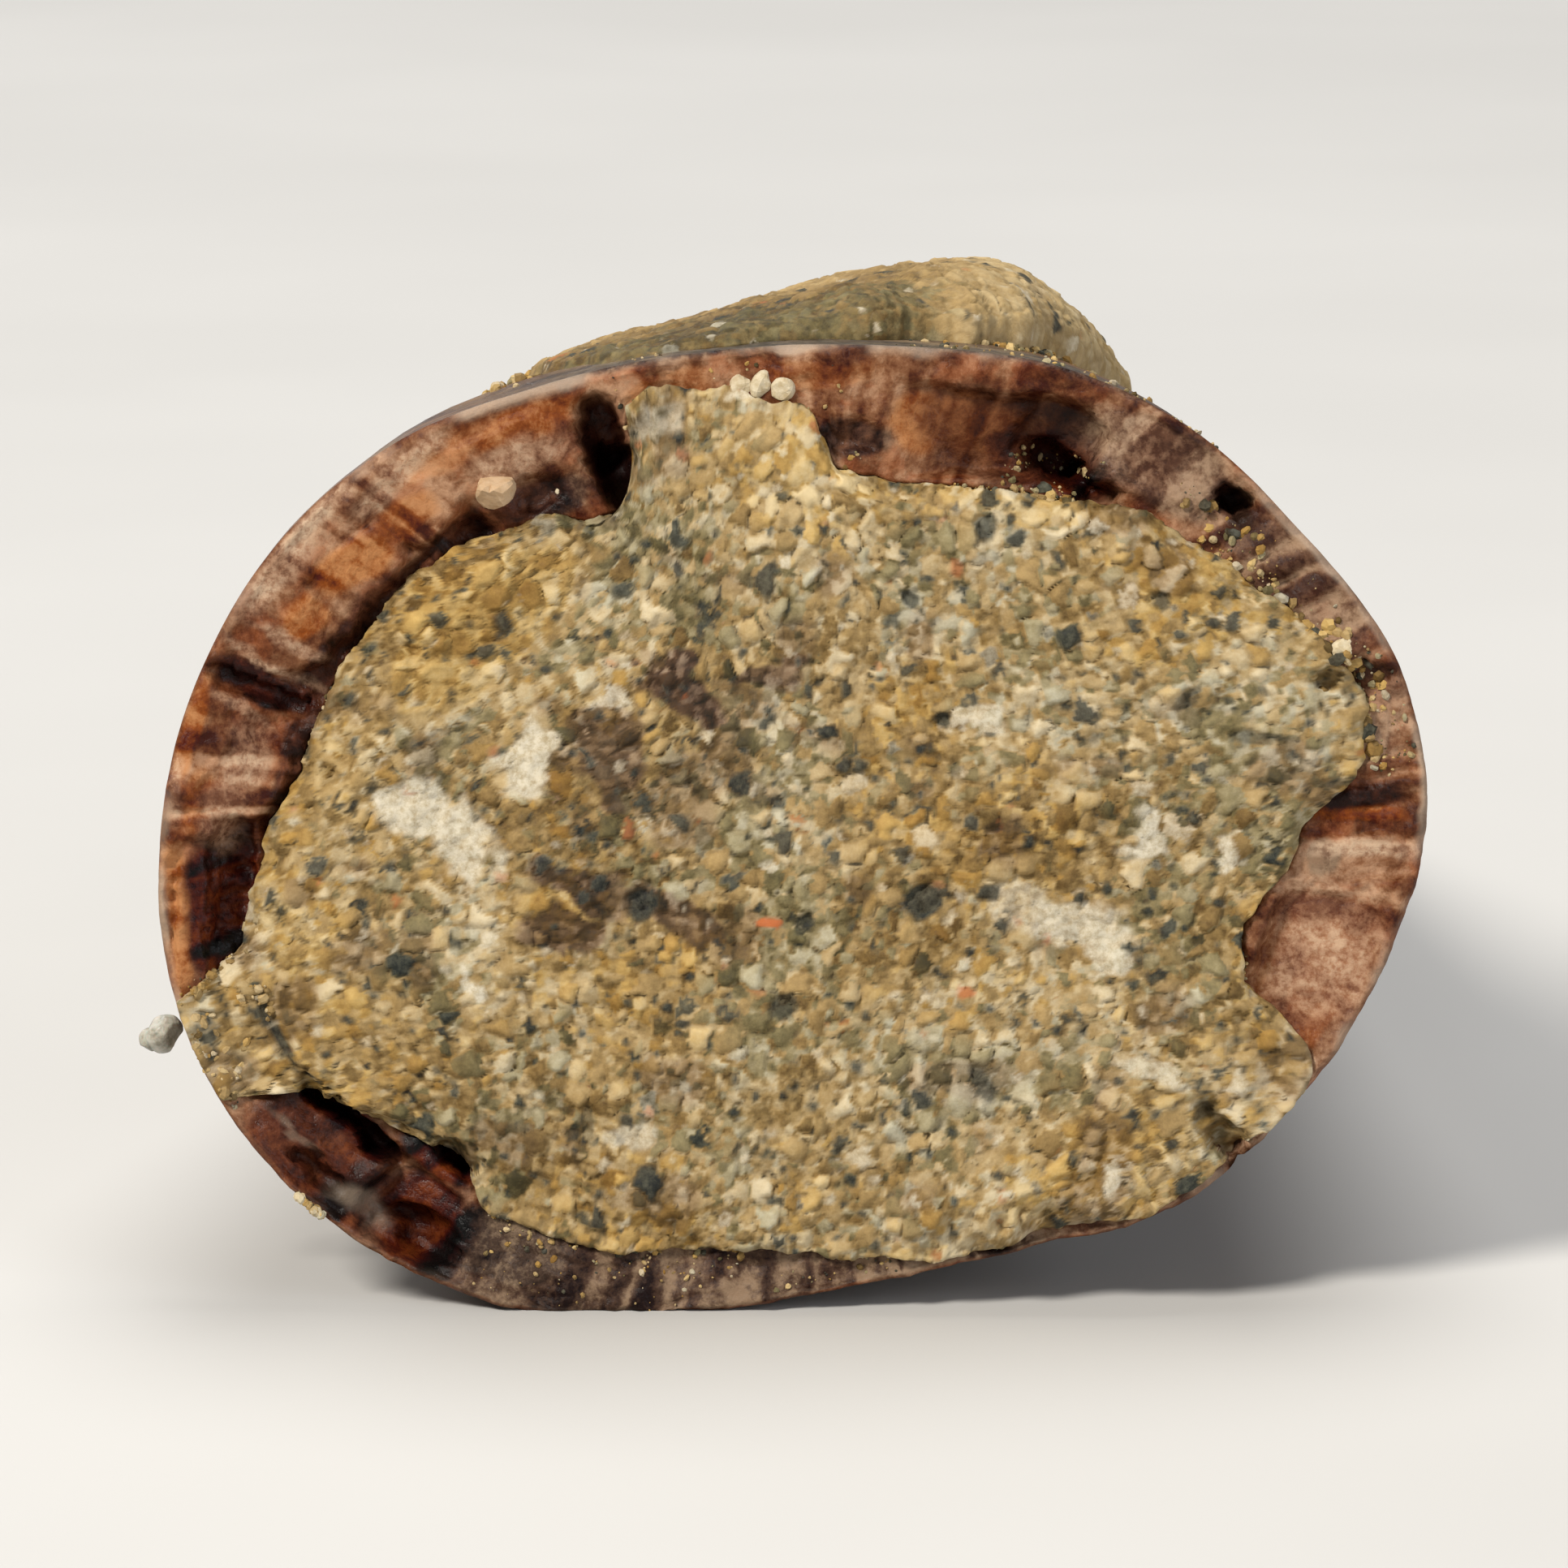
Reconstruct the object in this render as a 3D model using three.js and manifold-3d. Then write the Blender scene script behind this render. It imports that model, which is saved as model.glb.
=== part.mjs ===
// Fossil tooth crown of a large meat-eating dinosaur, lying on its inner (lingual) side.
//
// The crown is one grown piece: a curved, hollow, laterally flattened cone of dentine under a skin of
// enamel, with a saw-edged keel (carina) in front and another behind. It broke off at its base, so the
// broken rim and the sandstone that fills the pulp cavity are open to view. The sandstone also forms a
// lump on the outer (labial) side of the crown, and one loose sand grain is stuck to the front edge.
//
// Tooth frame, in millimetres: +X is the back (distal) side, +Y runs from the broken base at 0 to the
// tip, and +Z is the outer (labial) side. The finished group is then laid down on its resting points.

import * as THREE from "three";
import Module from "manifold-3d";
import { mergeVertices } from "three/addons/utils/BufferGeometryUtils.js";

const wasm = await Module();
wasm.setup();

// ---- Driving dimensions ----------------------------------------------------------------------------

const crownHeight = 38;
const baseHalfX = 9.08; // half the front-to-back length of the base
const baseHalfZ = 6.95; // half the side-to-side width of the base
const tipX = 8.6; // the tip leans back over the rear edge
const tipZ = -3.2; // and towards the inner side
const rearHollow = 0.9; // how far the rear edge is hollow between base and tip
const innerHollow = 0.6; // the same for the inner side that the tooth lies on
const labialBulge = 0.55; // swelling of the outer side just above the base
const labialBulgeEnd = 0.38; // share of the height where that swelling has died away
const tipWearShare = 0.985; // the worn tip is rounded off here
const tipWearLength = 0.4;

// Radius of the broken base from its centre, every 15 degrees from +X towards +Z.
const baseRadii = [
  9.06, 8.97, 8.41, 8.06, 7.62, 7.12, 6.92, 6.98, 7.3, 7.9, 8.41, 8.8,
  9.1, 9.27, 9.1, 8.66, 8.05, 7.33, 6.8, 6.7, 7.04, 7.74, 8.22, 8.64,
];
// Thickness of the dentine wall at the base, at the same angles.
const wallThickness = [
  1.6, 1.3, 1.3, 1.5, 2.0, 1.9, 1.3, 1.3, 1.9, 2.0, 1.8, 1.7,
  1.5, 1.4, 1.5, 1.7, 1.5, 1.2, 1.1, 1.1, 1.1, 1.2, 1.3, 1.9,
];
const cavityShare = 0.62; // the pulp cavity ends at this share of the height

// Visible edge of the sandstone on the base: [angle in degrees, radius]. Outside the cavity it overlaps
// the broken rim, and inside it the stone has shrunk away from the wall.
const stoneEdge = [
  [0, 7.27], [7, 8.25], [12, 8.38], [20, 7.95], [32, 7.15], [43, 6.65], [52, 5.95], [63, 5.45],
  [74, 5.15], [84, 5.25], [88, 5.95], [95, 6.2], [108, 6.6], [112, 6.5], [115, 5.3], [119, 5.05],
  [127, 5.55], [138, 6.1], [149, 6.6], [158, 6.85], [173, 7.12], [184, 7.75], [193, 8.05],
  [198, 9.0], [204, 9.1], [208, 7.9], [214, 7.25], [225, 6.65], [236, 6.75], [244, 6.75],
  [256, 6.25], [272, 6.12], [281, 6.35], [292, 6.65], [303, 6.85], [312, 7.3], [322, 7.65],
  [331, 7.95], [337, 7.9], [341, 6.75], [348, 6.55],
];
const stoneOverlapDepth = 0.4; // how deep the overlapping stone sits in the broken rim
const stoneStep = 0.15;
const stoneRise = 0.12; // the stone stands this proud of the rim
const seatGap = 0.06; // clearance between separate pieces

// Places where the broken base is knocked out: centre [x, z], half sizes [along, across, deep] and the
// turn of the long direction from +X towards +Z, in degrees.
const pits = [
  { at: [-2.72, 5.3], size: [1.0, 0.42, 1.1], turn: -72 }, // deep notch, front outer side
  { at: [2.9, 5.75], size: [1.75, 0.8, 0.7], turn: -8 }, // hollow where a block of dentine broke out
  { at: [3.9, 5.05], size: [0.75, 0.45, 1.1], turn: -28 },
  { at: [6.25, 4.7], size: [0.45, 0.27, 0.8], turn: -70 },
  { at: [7.75, 0.35], size: [0.85, 0.22, 0.35], turn: 0 },
  { at: [8.0, 2.15], size: [0.45, 0.35, 0.4], turn: 60 },
  { at: [6.08, -4.4], size: [0.5, 0.26, 0.6], turn: -48 },
  { at: [-6.15, -4.3], size: [1.35, 0.26, 0.9], turn: -38 }, // crack between stone and wall
  { at: [-4.8, -4.85], size: [0.45, 0.4, 1.0], turn: -30 },
  { at: [-5.35, -5.75], size: [1.2, 0.6, 0.5], turn: -40 },
  { at: [-8.0, -1.2], size: [1.3, 0.4, 0.3], turn: 85 },
  { at: [-7.0, 2.4], size: [1.6, 0.4, 0.35], turn: 62 },
  { at: [-5.2, 4.3], size: [1.4, 0.45, 0.4], turn: 36 },
];

const denticlePitch = 0.6;
const denticleHeight = 0.28;
const keelRoot = 0.45; // how deep each keel is set into the crown
const keelHalf = 0.34; // half its thickness there
const rearKeel = [0.1, 0.97]; // shares of the height between which each keel runs
const frontKeel = [0.3, 0.97];

const lump = {
  x: [-4.9, 4.6], // its foot, from front to rear on the crown's outer side
  y: [1.5, 14.5], // and from base to tip
  height: [0.15, 1.2], // at its front and its rear
  rise: [-2.5, 3.6], // from front to rear, where it grows from the one to the other
  broad: 0.25, // it is wider at its base end by this share
  ragged: 0.14, // how uneven the outline of its foot is
  clearance: 0.09, // above the crown
};

const grain = { at: [-9.1, 0.6, -3.04], size: [0.36, 0.3, 0.25] };

// The tooth lies on a worn flat of the inner side: under the rim and under the tip, in one plane.
const restSlope = 5.9; // of that plane, in degrees
const restDepth = 7.0; // of that plane under the base centre
const baseCentre = [0.21, -18.27]; // place of the base centre when the tooth lies down

// ---- Small functions -------------------------------------------------------------------------------

const TURN = 2 * Math.PI;
const radians = THREE.MathUtils.degToRad;
const { lerp, smoothstep } = THREE.MathUtils;

// Value of an evenly spaced closed list at an angle, through a Catmull-Rom curve.
function around(values, angle) {
  const n = values.length;
  const place = (((angle / TURN) % 1) + 1) % 1 * n;
  const i = Math.floor(place);
  const f = place - i;
  const [a, b, c, d] = [-1, 0, 1, 2].map((k) => values[(i + k + n) % n]);
  return b + 0.5 * f * (c - a + f * (2 * a - 5 * b + 4 * c - d + f * (3 * (b - c) + d - a)));
}

// Value of a closed list of [degrees, value] at an angle, in straight steps.
function between(pairs, angle) {
  const degrees = (THREE.MathUtils.radToDeg(angle) % 360 + 360) % 360;
  const next = pairs.findIndex(([a]) => a > degrees);
  const [a1, v1] = next < 0 ? [pairs[0][0] + 360, pairs[0][1]] : pairs[next];
  const [a0, v0] = next < 0 ? pairs.at(-1) : pairs[next - 1];
  return lerp(v0, v1, (degrees - a0) / (a1 - a0));
}

// Gentle unevenness of a broken surface, within about 1 either way.
function unevenness(x, z) {
  return 0.5 * Math.sin(0.9 * x + 1.3 * z + 0.4) + 0.3 * Math.sin(2.3 * x - 1.7 * z + 1.9)
    + 0.2 * Math.sin(3.1 * x + 3.7 * z - 0.8);
}

// The inner side is worn off at the plane that the tooth rests on.
const restPlane = (y) => -restDepth + y * Math.tan(radians(restSlope));
const worn = (x, y, z) => new THREE.Vector3(x, y, Math.max(z, restPlane(y)));
const baseRadius = (angle) => around(baseRadii, angle);
const cavityRadius = (angle) => baseRadius(angle) - around(wallThickness, angle);

// Middle and half size of the crown's section at a share t of its height.
function sectionAt(t) {
  const front = lerp(tipX, -baseHalfX, (1 - t ** 1.8) ** 0.75);
  const rear = lerp(baseHalfX, tipX, t) - rearHollow * Math.sin(Math.PI * t);
  const swell = Math.sin(Math.PI * Math.min(t / labialBulgeEnd, 1)) ** 2;
  const outer = lerp(tipZ, baseHalfZ, (1 - t ** 1.5) ** 0.8) + labialBulge * swell;
  const inner = lerp(-baseHalfZ, tipZ, t) + innerHollow * Math.sin(Math.PI * t);
  return {
    x: (front + rear) / 2, halfX: (rear - front) / 2,
    z: (outer + inner) / 2, halfZ: (outer - inner) / 2,
  };
}

// Point of the crown's outer surface. The base's own outline turns into a lens with keeled ends. A
// share under 1 gives the same point drawn in towards the middle of the section.
function crownPoint(angle, t, share = 1, lift = 0) {
  const s = sectionAt(t);
  const keeled = smoothstep(t, 0.02, 0.5);
  const radius = baseRadius(angle);
  const lens = Math.sign(Math.sin(angle)) * Math.abs(Math.sin(angle)) ** 1.4;
  const x = lerp((radius * Math.cos(angle)) / baseHalfX, Math.cos(angle), keeled);
  const z = lerp((radius * Math.sin(angle)) / baseHalfZ, lens, keeled);
  const out = new THREE.Vector2(x * s.halfX, z * s.halfZ);
  out.multiplyScalar(share + lift / Math.max(out.length(), 0.2));
  return worn(s.x + out.x, t * crownHeight, s.z + out.y);
}

// Point of the pulp cavity's wall, at a share d of the cavity's depth.
function cavityPoint(angle, d, clearance = 0) {
  const narrowing = (1 - Math.min(d, 1) ** 1.8) ** 0.7;
  const share = (cavityRadius(angle) / baseRadius(angle)) * narrowing;
  return crownPoint(angle, d * cavityShare, share, -clearance * Math.min(1, narrowing * 4));
}

// Point at a radius and depth on the broken base.
const basePoint = (angle, radius, depth) =>
  worn(radius * Math.cos(angle), depth, radius * Math.sin(angle));

// Closed skin over rings of points, from a first point to a last one. Rings are listed so that their
// faces point out when the angle grows and the skin runs from the tip to the base and inwards.
function skin(first, rings, last) {
  const n = rings[0].length;
  const positions = [first, ...rings.flat(), last].flatMap((p) => p.toArray());
  const index = [];
  const at = (ring, i) => 1 + ring * n + (i % n);
  const end = 1 + rings.length * n;
  for (let i = 0; i < n; i++) {
    index.push(0, at(0, i + 1), at(0, i));
    for (let k = 0; k < rings.length - 1; k++) {
      const [a, b, c, d] = [at(k, i), at(k, i + 1), at(k + 1, i + 1), at(k + 1, i)];
      index.push(a, b, c, a, c, d);
    }
    index.push(end, at(rings.length - 1, i), at(rings.length - 1, i + 1));
  }
  const geometry = new THREE.BufferGeometry();
  geometry.setAttribute("position", new THREE.Float32BufferAttribute(positions, 3));
  geometry.setIndex(index);
  return geometry;
}

const ringOf = (count, point) => Array.from({ length: count }, (_, i) => point((i * TURN) / count));

// A closed three.js geometry as a manifold solid, and back.
function solid(geometry) {
  const bare = geometry.clone();
  bare.deleteAttribute("normal");
  bare.deleteAttribute("uv");
  const merged = mergeVertices(bare, 1e-4);
  return new wasm.Manifold(new wasm.Mesh({
    numProp: 3,
    vertProperties: merged.attributes.position.array,
    triVerts: new Uint32Array(merged.index.array),
  }));
}

function geometryOf(manifold) {
  const made = manifold.getMesh();
  const geometry = new THREE.BufferGeometry();
  geometry.setAttribute("position", new THREE.BufferAttribute(made.vertProperties, 3));
  geometry.setIndex(new THREE.BufferAttribute(made.triVerts, 1));
  return geometry.toNonIndexed();
}

// ---- Pieces ----------------------------------------------------------------------------------------

const ring = (point) => ringOf(60, point);

// Depth of the broken rim: uneven, and lower towards the pulp cavity on the front side.
function rimDepth(angle, inward) {
  const p = basePoint(angle, baseRadius(angle), 0);
  const frontSide = Math.max(0, -Math.cos(angle));
  return 0.14 * unevenness(p.x, p.z) + inward * (0.1 + 0.3 * frontSide);
}

const stoneFaceDepth = (x, z) => -stoneRise + 0.25 * unevenness(0.5 * x, 0.5 * z);

function crownShell() {
  const wallShares = [0.95, 0.89, 0.81, 0.72, 0.62, 0.51, 0.4, 0.3, 0.21, 0.13, 0.06];
  const rings = [];
  for (const bend of [0.35, 0.7]) {
    const turn = (bend * Math.PI) / 2;
    rings.push(ring((a) => {
      const p = crownPoint(a, tipWearShare, Math.sin(turn));
      return worn(p.x, p.y + tipWearLength * Math.cos(turn), p.z);
    }));
  }
  for (const t of [tipWearShare, ...wallShares]) rings.push(ring((a) => crownPoint(a, t)));
  const chamfer = 0.12;
  rings.push(ring((a) => basePoint(a, baseRadius(a), rimDepth(a, 0) + chamfer)));
  for (const inward of [0, 0.5]) {
    rings.push(ring((a) => {
      const edge = rebateRadius(a) + 0.02;
      return basePoint(a, lerp(baseRadius(a) - chamfer, edge, inward), rimDepth(a, inward));
    }));
  }
  rings.push(ring((a) => basePoint(a, rebateRadius(a) + 0.02, rimDepth(a, 1))));
  rings.push(ring((a) => basePoint(a, rebateRadius(a), stoneOverlapDepth + seatGap)));
  rings.push(ring((a) => basePoint(a, cavityRadius(a), stoneOverlapDepth + stoneStep + seatGap)));
  for (const d of [0.2, 0.5, 0.78, 0.95]) rings.push(ring((a) => cavityPoint(a, d)));
  const s = sectionAt(tipWearShare);
  const apex = new THREE.Vector3(s.x, tipWearShare * crownHeight + tipWearLength, s.z);
  const e = sectionAt(cavityShare);
  const cavityEnd = new THREE.Vector3(e.x, cavityShare * crownHeight, e.z);
  return skin(apex, rings, cavityEnd);
}

// Outer edge of the seat that the overlapping stone has in the rim.
function rebateRadius(angle) {
  return Math.max(between(stoneEdge, angle) + seatGap, cavityRadius(angle) + 0.04);
}

// Saw-edged keel along one edge of the crown: a ridge that is sharp outside, cut into denticles.
function keel(edgeAngle, [from, to]) {
  const side = Math.sign(Math.cos(edgeAngle));
  const count = 2 * Math.round(((to - from) * crownHeight) / denticlePitch);
  const rings = Array.from({ length: count + 1 }, (_, i) => {
    const t = lerp(to, from, i / count);
    const edge = crownPoint(edgeAngle, t);
    const along = crownPoint(edgeAngle, t + 0.01).sub(crownPoint(edgeAngle, t - 0.01)).normalize();
    const at = (reach, z) => new THREE.Vector3(
      edge.x + side * along.y * reach, edge.y - side * along.x * reach, edge.z + z);
    const fade = Math.min(1, (i + 1) / 4, (count - i + 1) / 8);
    const height = (i % 2 ? denticleHeight : denticleHeight / 4) * fade;
    return [at(height, 0), at(-keelRoot, side * keelHalf), at(-keelRoot, -side * keelHalf)];
  });
  const middle = (ring) => ring[1].clone().add(ring[2]).divideScalar(2);
  return solid(skin(middle(rings[0]), rings, middle(rings.at(-1))));
}

function pitCutter({ at: [x, z], size: [along, across, deep], turn }) {
  const cutter = new THREE.SphereGeometry(1, 10, 6);
  cutter.scale(along, deep, across);
  cutter.rotateY(radians(-turn));
  cutter.translate(x, 0.1, z);
  return solid(cutter);
}

function crown() {
  let tooth = solid(crownShell());
  tooth = tooth.add(keel(0, rearKeel)).add(keel(Math.PI, frontKeel));
  for (const pit of pits) tooth = tooth.subtract(pitCutter(pit));
  return largest(tooth);
}

// The biggest body of a solid, without the crumbs that a cut leaves.
const largest = (made) => made.decompose().sort((a, b) => b.volume() - a.volume())[0];

// Sandstone that fills the pulp cavity, spreads over parts of the rim and shows on the broken base.
function stonePlug() {
  const rings = [];
  for (const d of [0.78, 0.5, 0.2]) {
    rings.push(ring((a) => cavityPoint(a, d, seatGap)));
  }
  rings.push(ring((a) => basePoint(a, cavityRadius(a) - seatGap, stoneOverlapDepth + stoneStep)));
  rings.push(ring((a) => basePoint(a, between(stoneEdge, a), stoneOverlapDepth)));
  const facePoint = (a, share) => {
    const p = basePoint(a, between(stoneEdge, a) * share, 0);
    return p.setY(stoneFaceDepth(p.x, p.z) + 0.25 * smoothstep(share, 0.93, 1));
  };
  for (const share of [1, 0.95, 0.82, 0.66, 0.5, 0.33, 0.16]) {
    rings.push(ring((a) => facePoint(a, share)));
  }
  const e = sectionAt(0.94 * cavityShare);
  const deepEnd = new THREE.Vector3(e.x, 0.94 * cavityShare * crownHeight, e.z);
  let stone = solid(skin(deepEnd, rings, new THREE.Vector3(0, stoneFaceDepth(0, 0), 0)));
  for (const pit of pits) stone = stone.subtract(pitCutter(pit));
  return largest(stone);
}

// Sandstone lump stuck to the outer side of the crown.
function stoneLump() {
  const footAt = (turn, share) => {
    const reach = share * (1 + lump.ragged * (0.6 * Math.sin(3 * turn + 1) + 0.4 * Math.sin(5 * turn)));
    const width = 1 - lump.broad * Math.sin(turn) * share;
    const x = lerp(...lump.x, 0.5 + 0.5 * reach * width * Math.cos(turn));
    const y = lerp(...lump.y, 0.5 + 0.5 * reach * Math.sin(turn));
    return { x, y, angle: Math.acos(x / (baseHalfX - 0.12 * y)) };
  };
  const onCrown = (turn, share, height) => {
    const { y, angle } = footAt(turn, share);
    return crownPoint(angle, y / crownHeight, 1, lump.clearance + height);
  };
  const heightAt = (turn, share) => {
    const { x, y } = footAt(turn, share);
    const height = lerp(...lump.height, smoothstep(x, ...lump.rise));
    const swell = 1 + 0.18 * unevenness(0.8 * x, 0.6 * y);
    return Math.max(0.12, height * swell * (1 - share ** 4) ** 0.5);
  };
  const count = 28;
  const rings = [];
  for (const share of [0.25, 0.5, 0.75, 1]) rings.push(ringOf(count, (a) => onCrown(a, share, 0)));
  for (const share of [1, 0.94, 0.82, 0.64, 0.44, 0.22]) {
    rings.push(ringOf(count, (a) => onCrown(a, share, heightAt(a, share))));
  }
  return solid(skin(onCrown(0, 0, 0), rings, onCrown(0, 0, heightAt(0, 0))));
}

function sandGrain() {
  const made = new THREE.IcosahedronGeometry(1, 1);
  made.scale(...grain.size);
  made.rotateZ(radians(25));
  made.translate(...grain.at);
  return solid(made);
}

// ---- The tooth, laid down --------------------------------------------------------------------------

function piece(name, made, color, roughness) {
  const material = new THREE.MeshStandardMaterial({ color, roughness, metalness: 0 });
  const mesh = new THREE.Mesh(geometryOf(made), material);
  mesh.name = name;
  return mesh;
}

const tooth = new THREE.Group();
tooth.add(
  piece("tooth_crown", crown(), 0x5c3a2a, 0.35),
  piece("sandstone_plug", stonePlug(), 0xa88f60, 0.95),
  piece("sandstone_lump", stoneLump(), 0x9c8960, 0.95),
  piece("stuck_sand_grain", sandGrain(), 0xb4ae9c, 0.8),
);
tooth.rotation.x = -radians(restSlope);
tooth.position.set(...baseCentre, restDepth * Math.cos(radians(restSlope)));

const fossil = new THREE.Group();
fossil.add(tooth);

export default fossil;
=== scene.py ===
"""Looks of the fossil tooth: the crown, its broken rim and the sandstone that fills and clings to it.

The shape functions repeat the part's dimensions, in mm, in the tooth frame: +X is the rear edge, +Y
runs from the broken base to the tip, +Z is the outer side. At the end every point is laid down as the
tooth lies, in metres.
"""

import math

import bpy
import numpy as np
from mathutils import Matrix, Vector


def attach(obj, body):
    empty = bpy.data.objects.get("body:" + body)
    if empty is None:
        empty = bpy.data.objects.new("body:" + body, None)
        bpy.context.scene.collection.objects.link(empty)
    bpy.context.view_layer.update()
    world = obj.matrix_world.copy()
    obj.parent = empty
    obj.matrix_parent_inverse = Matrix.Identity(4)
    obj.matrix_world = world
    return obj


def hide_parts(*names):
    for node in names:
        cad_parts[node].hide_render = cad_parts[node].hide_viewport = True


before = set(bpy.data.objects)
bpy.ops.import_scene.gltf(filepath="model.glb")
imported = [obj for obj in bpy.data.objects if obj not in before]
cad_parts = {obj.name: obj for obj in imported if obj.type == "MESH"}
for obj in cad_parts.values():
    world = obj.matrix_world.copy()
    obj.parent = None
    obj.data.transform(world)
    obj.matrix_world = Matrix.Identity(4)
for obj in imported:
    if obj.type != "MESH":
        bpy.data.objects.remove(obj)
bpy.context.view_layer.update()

# ---- Driving dimensions, as in the part ----

MM = 0.001
CROWN_HEIGHT = 38.0
BASE_HALF_X = 9.08
BASE_HALF_Z = 6.95
TIP_X = 8.6
TIP_Z = -3.2
REAR_HOLLOW = 0.9
INNER_HOLLOW = 0.6
LABIAL_BULGE = 0.55
LABIAL_BULGE_END = 0.38
TIP_WEAR_SHARE = 0.985
TIP_WEAR_LENGTH = 0.4
CAVITY_SHARE = 0.62

# Radius of the broken base and thickness of its wall, every 15 degrees from +X towards +Z.
BASE_RADII = np.array([
    9.06, 8.97, 8.41, 8.06, 7.62, 7.12, 6.92, 6.98, 7.3, 7.9, 8.41, 8.8,
    9.1, 9.27, 9.1, 8.66, 8.05, 7.33, 6.8, 6.7, 7.04, 7.74, 8.22, 8.64,
])
WALL_THICKNESS = np.array([
    1.6, 1.3, 1.3, 1.5, 2.0, 1.9, 1.3, 1.3, 1.9, 2.0, 1.8, 1.7,
    1.5, 1.4, 1.5, 1.7, 1.5, 1.2, 1.1, 1.1, 1.1, 1.2, 1.3, 1.9,
])
# Visible edge of the sandstone on the base: angle in degrees, radius.
STONE_EDGE = np.array([
    (0, 7.27), (7, 8.25), (12, 8.38), (20, 7.95), (32, 7.15), (43, 6.65), (52, 5.95), (63, 5.45),
    (74, 5.15), (84, 5.25), (88, 5.95), (95, 6.2), (108, 6.6), (112, 6.5), (115, 5.3), (119, 5.05),
    (127, 5.55), (138, 6.1), (149, 6.6), (158, 6.85), (173, 7.12), (184, 7.75), (193, 8.05),
    (198, 9.0), (204, 9.1), (208, 7.9), (214, 7.25), (225, 6.65), (236, 6.75), (244, 6.75),
    (256, 6.25), (272, 6.12), (281, 6.35), (292, 6.65), (303, 6.85), (312, 7.3), (322, 7.65),
    (331, 7.95), (337, 7.9), (341, 6.75), (348, 6.55),
])
# Thin crusts of sand that run on over the rim: angle, how wide in degrees, how far out.
EDGE_CRUSTS = (
    (196.5, 3, 0.7), (204.5, 3, 0.5), (213, 5, 0.2), (232, 7, 0.4), (316, 9, 0.25), (331, 6, 0.35),
)
STONE_RISE = 0.12
STONE_SEAT_DEPTH = 0.55
SEAT_GAP = 0.06

DENTICLE_PITCH = 0.6
DENTICLE_HEIGHT = 0.28
REAR_KEEL = (0.1, 0.97)
FRONT_KEEL = (0.3, 0.97)

LUMP_X = (-4.9, 4.6)
LUMP_Y = (1.5, 14.5)
LUMP_HEIGHT = (0.15, 1.2)
LUMP_RISE = (-2.5, 3.6)
LUMP_BROAD = 0.25
LUMP_RAGGED = 0.14
LUMP_CLEARANCE = 0.09

GRAIN_AT = (-9.1, 0.6, -3.04)
GRAIN_SIZE = (0.36, 0.3, 0.25)

REST_SLOPE = math.radians(5.9)
REST_DEPTH = 7.0
BASE_CENTRE = (0.21, -18.27)

# ---- Numbers and noise ----

TURN = 2 * math.pi


def clip01(value):
    return np.clip(value, 0.0, 1.0)


def smooth(low, high, value):
    f = clip01((value - low) / (high - low))
    return f * f * (3 - 2 * f)


def mix(a, b, share):
    return a + (b - a) * share


def bell(value, width):
    return np.exp(-(value / width) ** 2)


HASH_FACTORS = (73856093, 19349663, 83492791, 49979687, 29986577)
HASH_STIR = 1274126177
HASH_SPAN = 2 ** 32


def hashed(*whole):
    """Evenly spread values from 0 to 1 for whole-number lattice points and a seed."""
    h = np.zeros(np.broadcast(*whole).shape, dtype=np.int64)
    for number, factor in zip(whole, HASH_FACTORS):
        h = h ^ (np.asarray(number, dtype=np.int64) * factor % HASH_SPAN)
    for shift in (15, 13, 16):
        h = (h ^ (h >> shift)) * HASH_STIR % HASH_SPAN
    return (h ^ (h >> 15)) / HASH_SPAN


def noise(x, y, z, size, seed):
    """Soft noise from -1 to 1 with features of that size, in mm."""
    place = np.stack(np.broadcast_arrays(x, y, z)) / size
    cell = np.floor(place).astype(np.int64)
    share = place - cell
    share = share ** 3 * (share * (share * 6 - 15) + 10)
    total = 0.0
    for bits in np.ndindex(2, 2, 2):
        weight = math.prod(f if bit else 1 - f for f, bit in zip(share, bits))
        total = total + weight * hashed(*(c + bit for c, bit in zip(cell, bits)), seed)
    return 2 * total - 1


def layers(x, y, z, size, seed, count=3):
    """Several sizes of noise on top of each other, from about -1 to 1."""
    total, strength, whole = 0.0, 1.0, 0.0
    for k in range(count):
        total = total + strength * noise(x, y, z, size / 2.03 ** k, seed + 17 * k)
        whole += strength
        strength *= 0.55
    return 1.6 * total / whole


def ring(radius, angle):
    """The x and z of points at that radius and angle round the tooth's axis."""
    return radius * np.cos(angle), radius * np.sin(angle)


def polar(x, z):
    """Angle and radius of points round the tooth's axis."""
    return np.arctan2(z, x), np.hypot(x, z)


def layers_round(radius, angle, y, size, seed, count=3):
    """The same noise round the axis. With one radius for all points, it runs on inwards unchanged."""
    x, z = ring(radius, angle)
    return layers(x, y, z, size, seed, count)


GRAIN_BLUR = 0.05  # how soft the borders between grains are, in mm, about the spacing of the points


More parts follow.
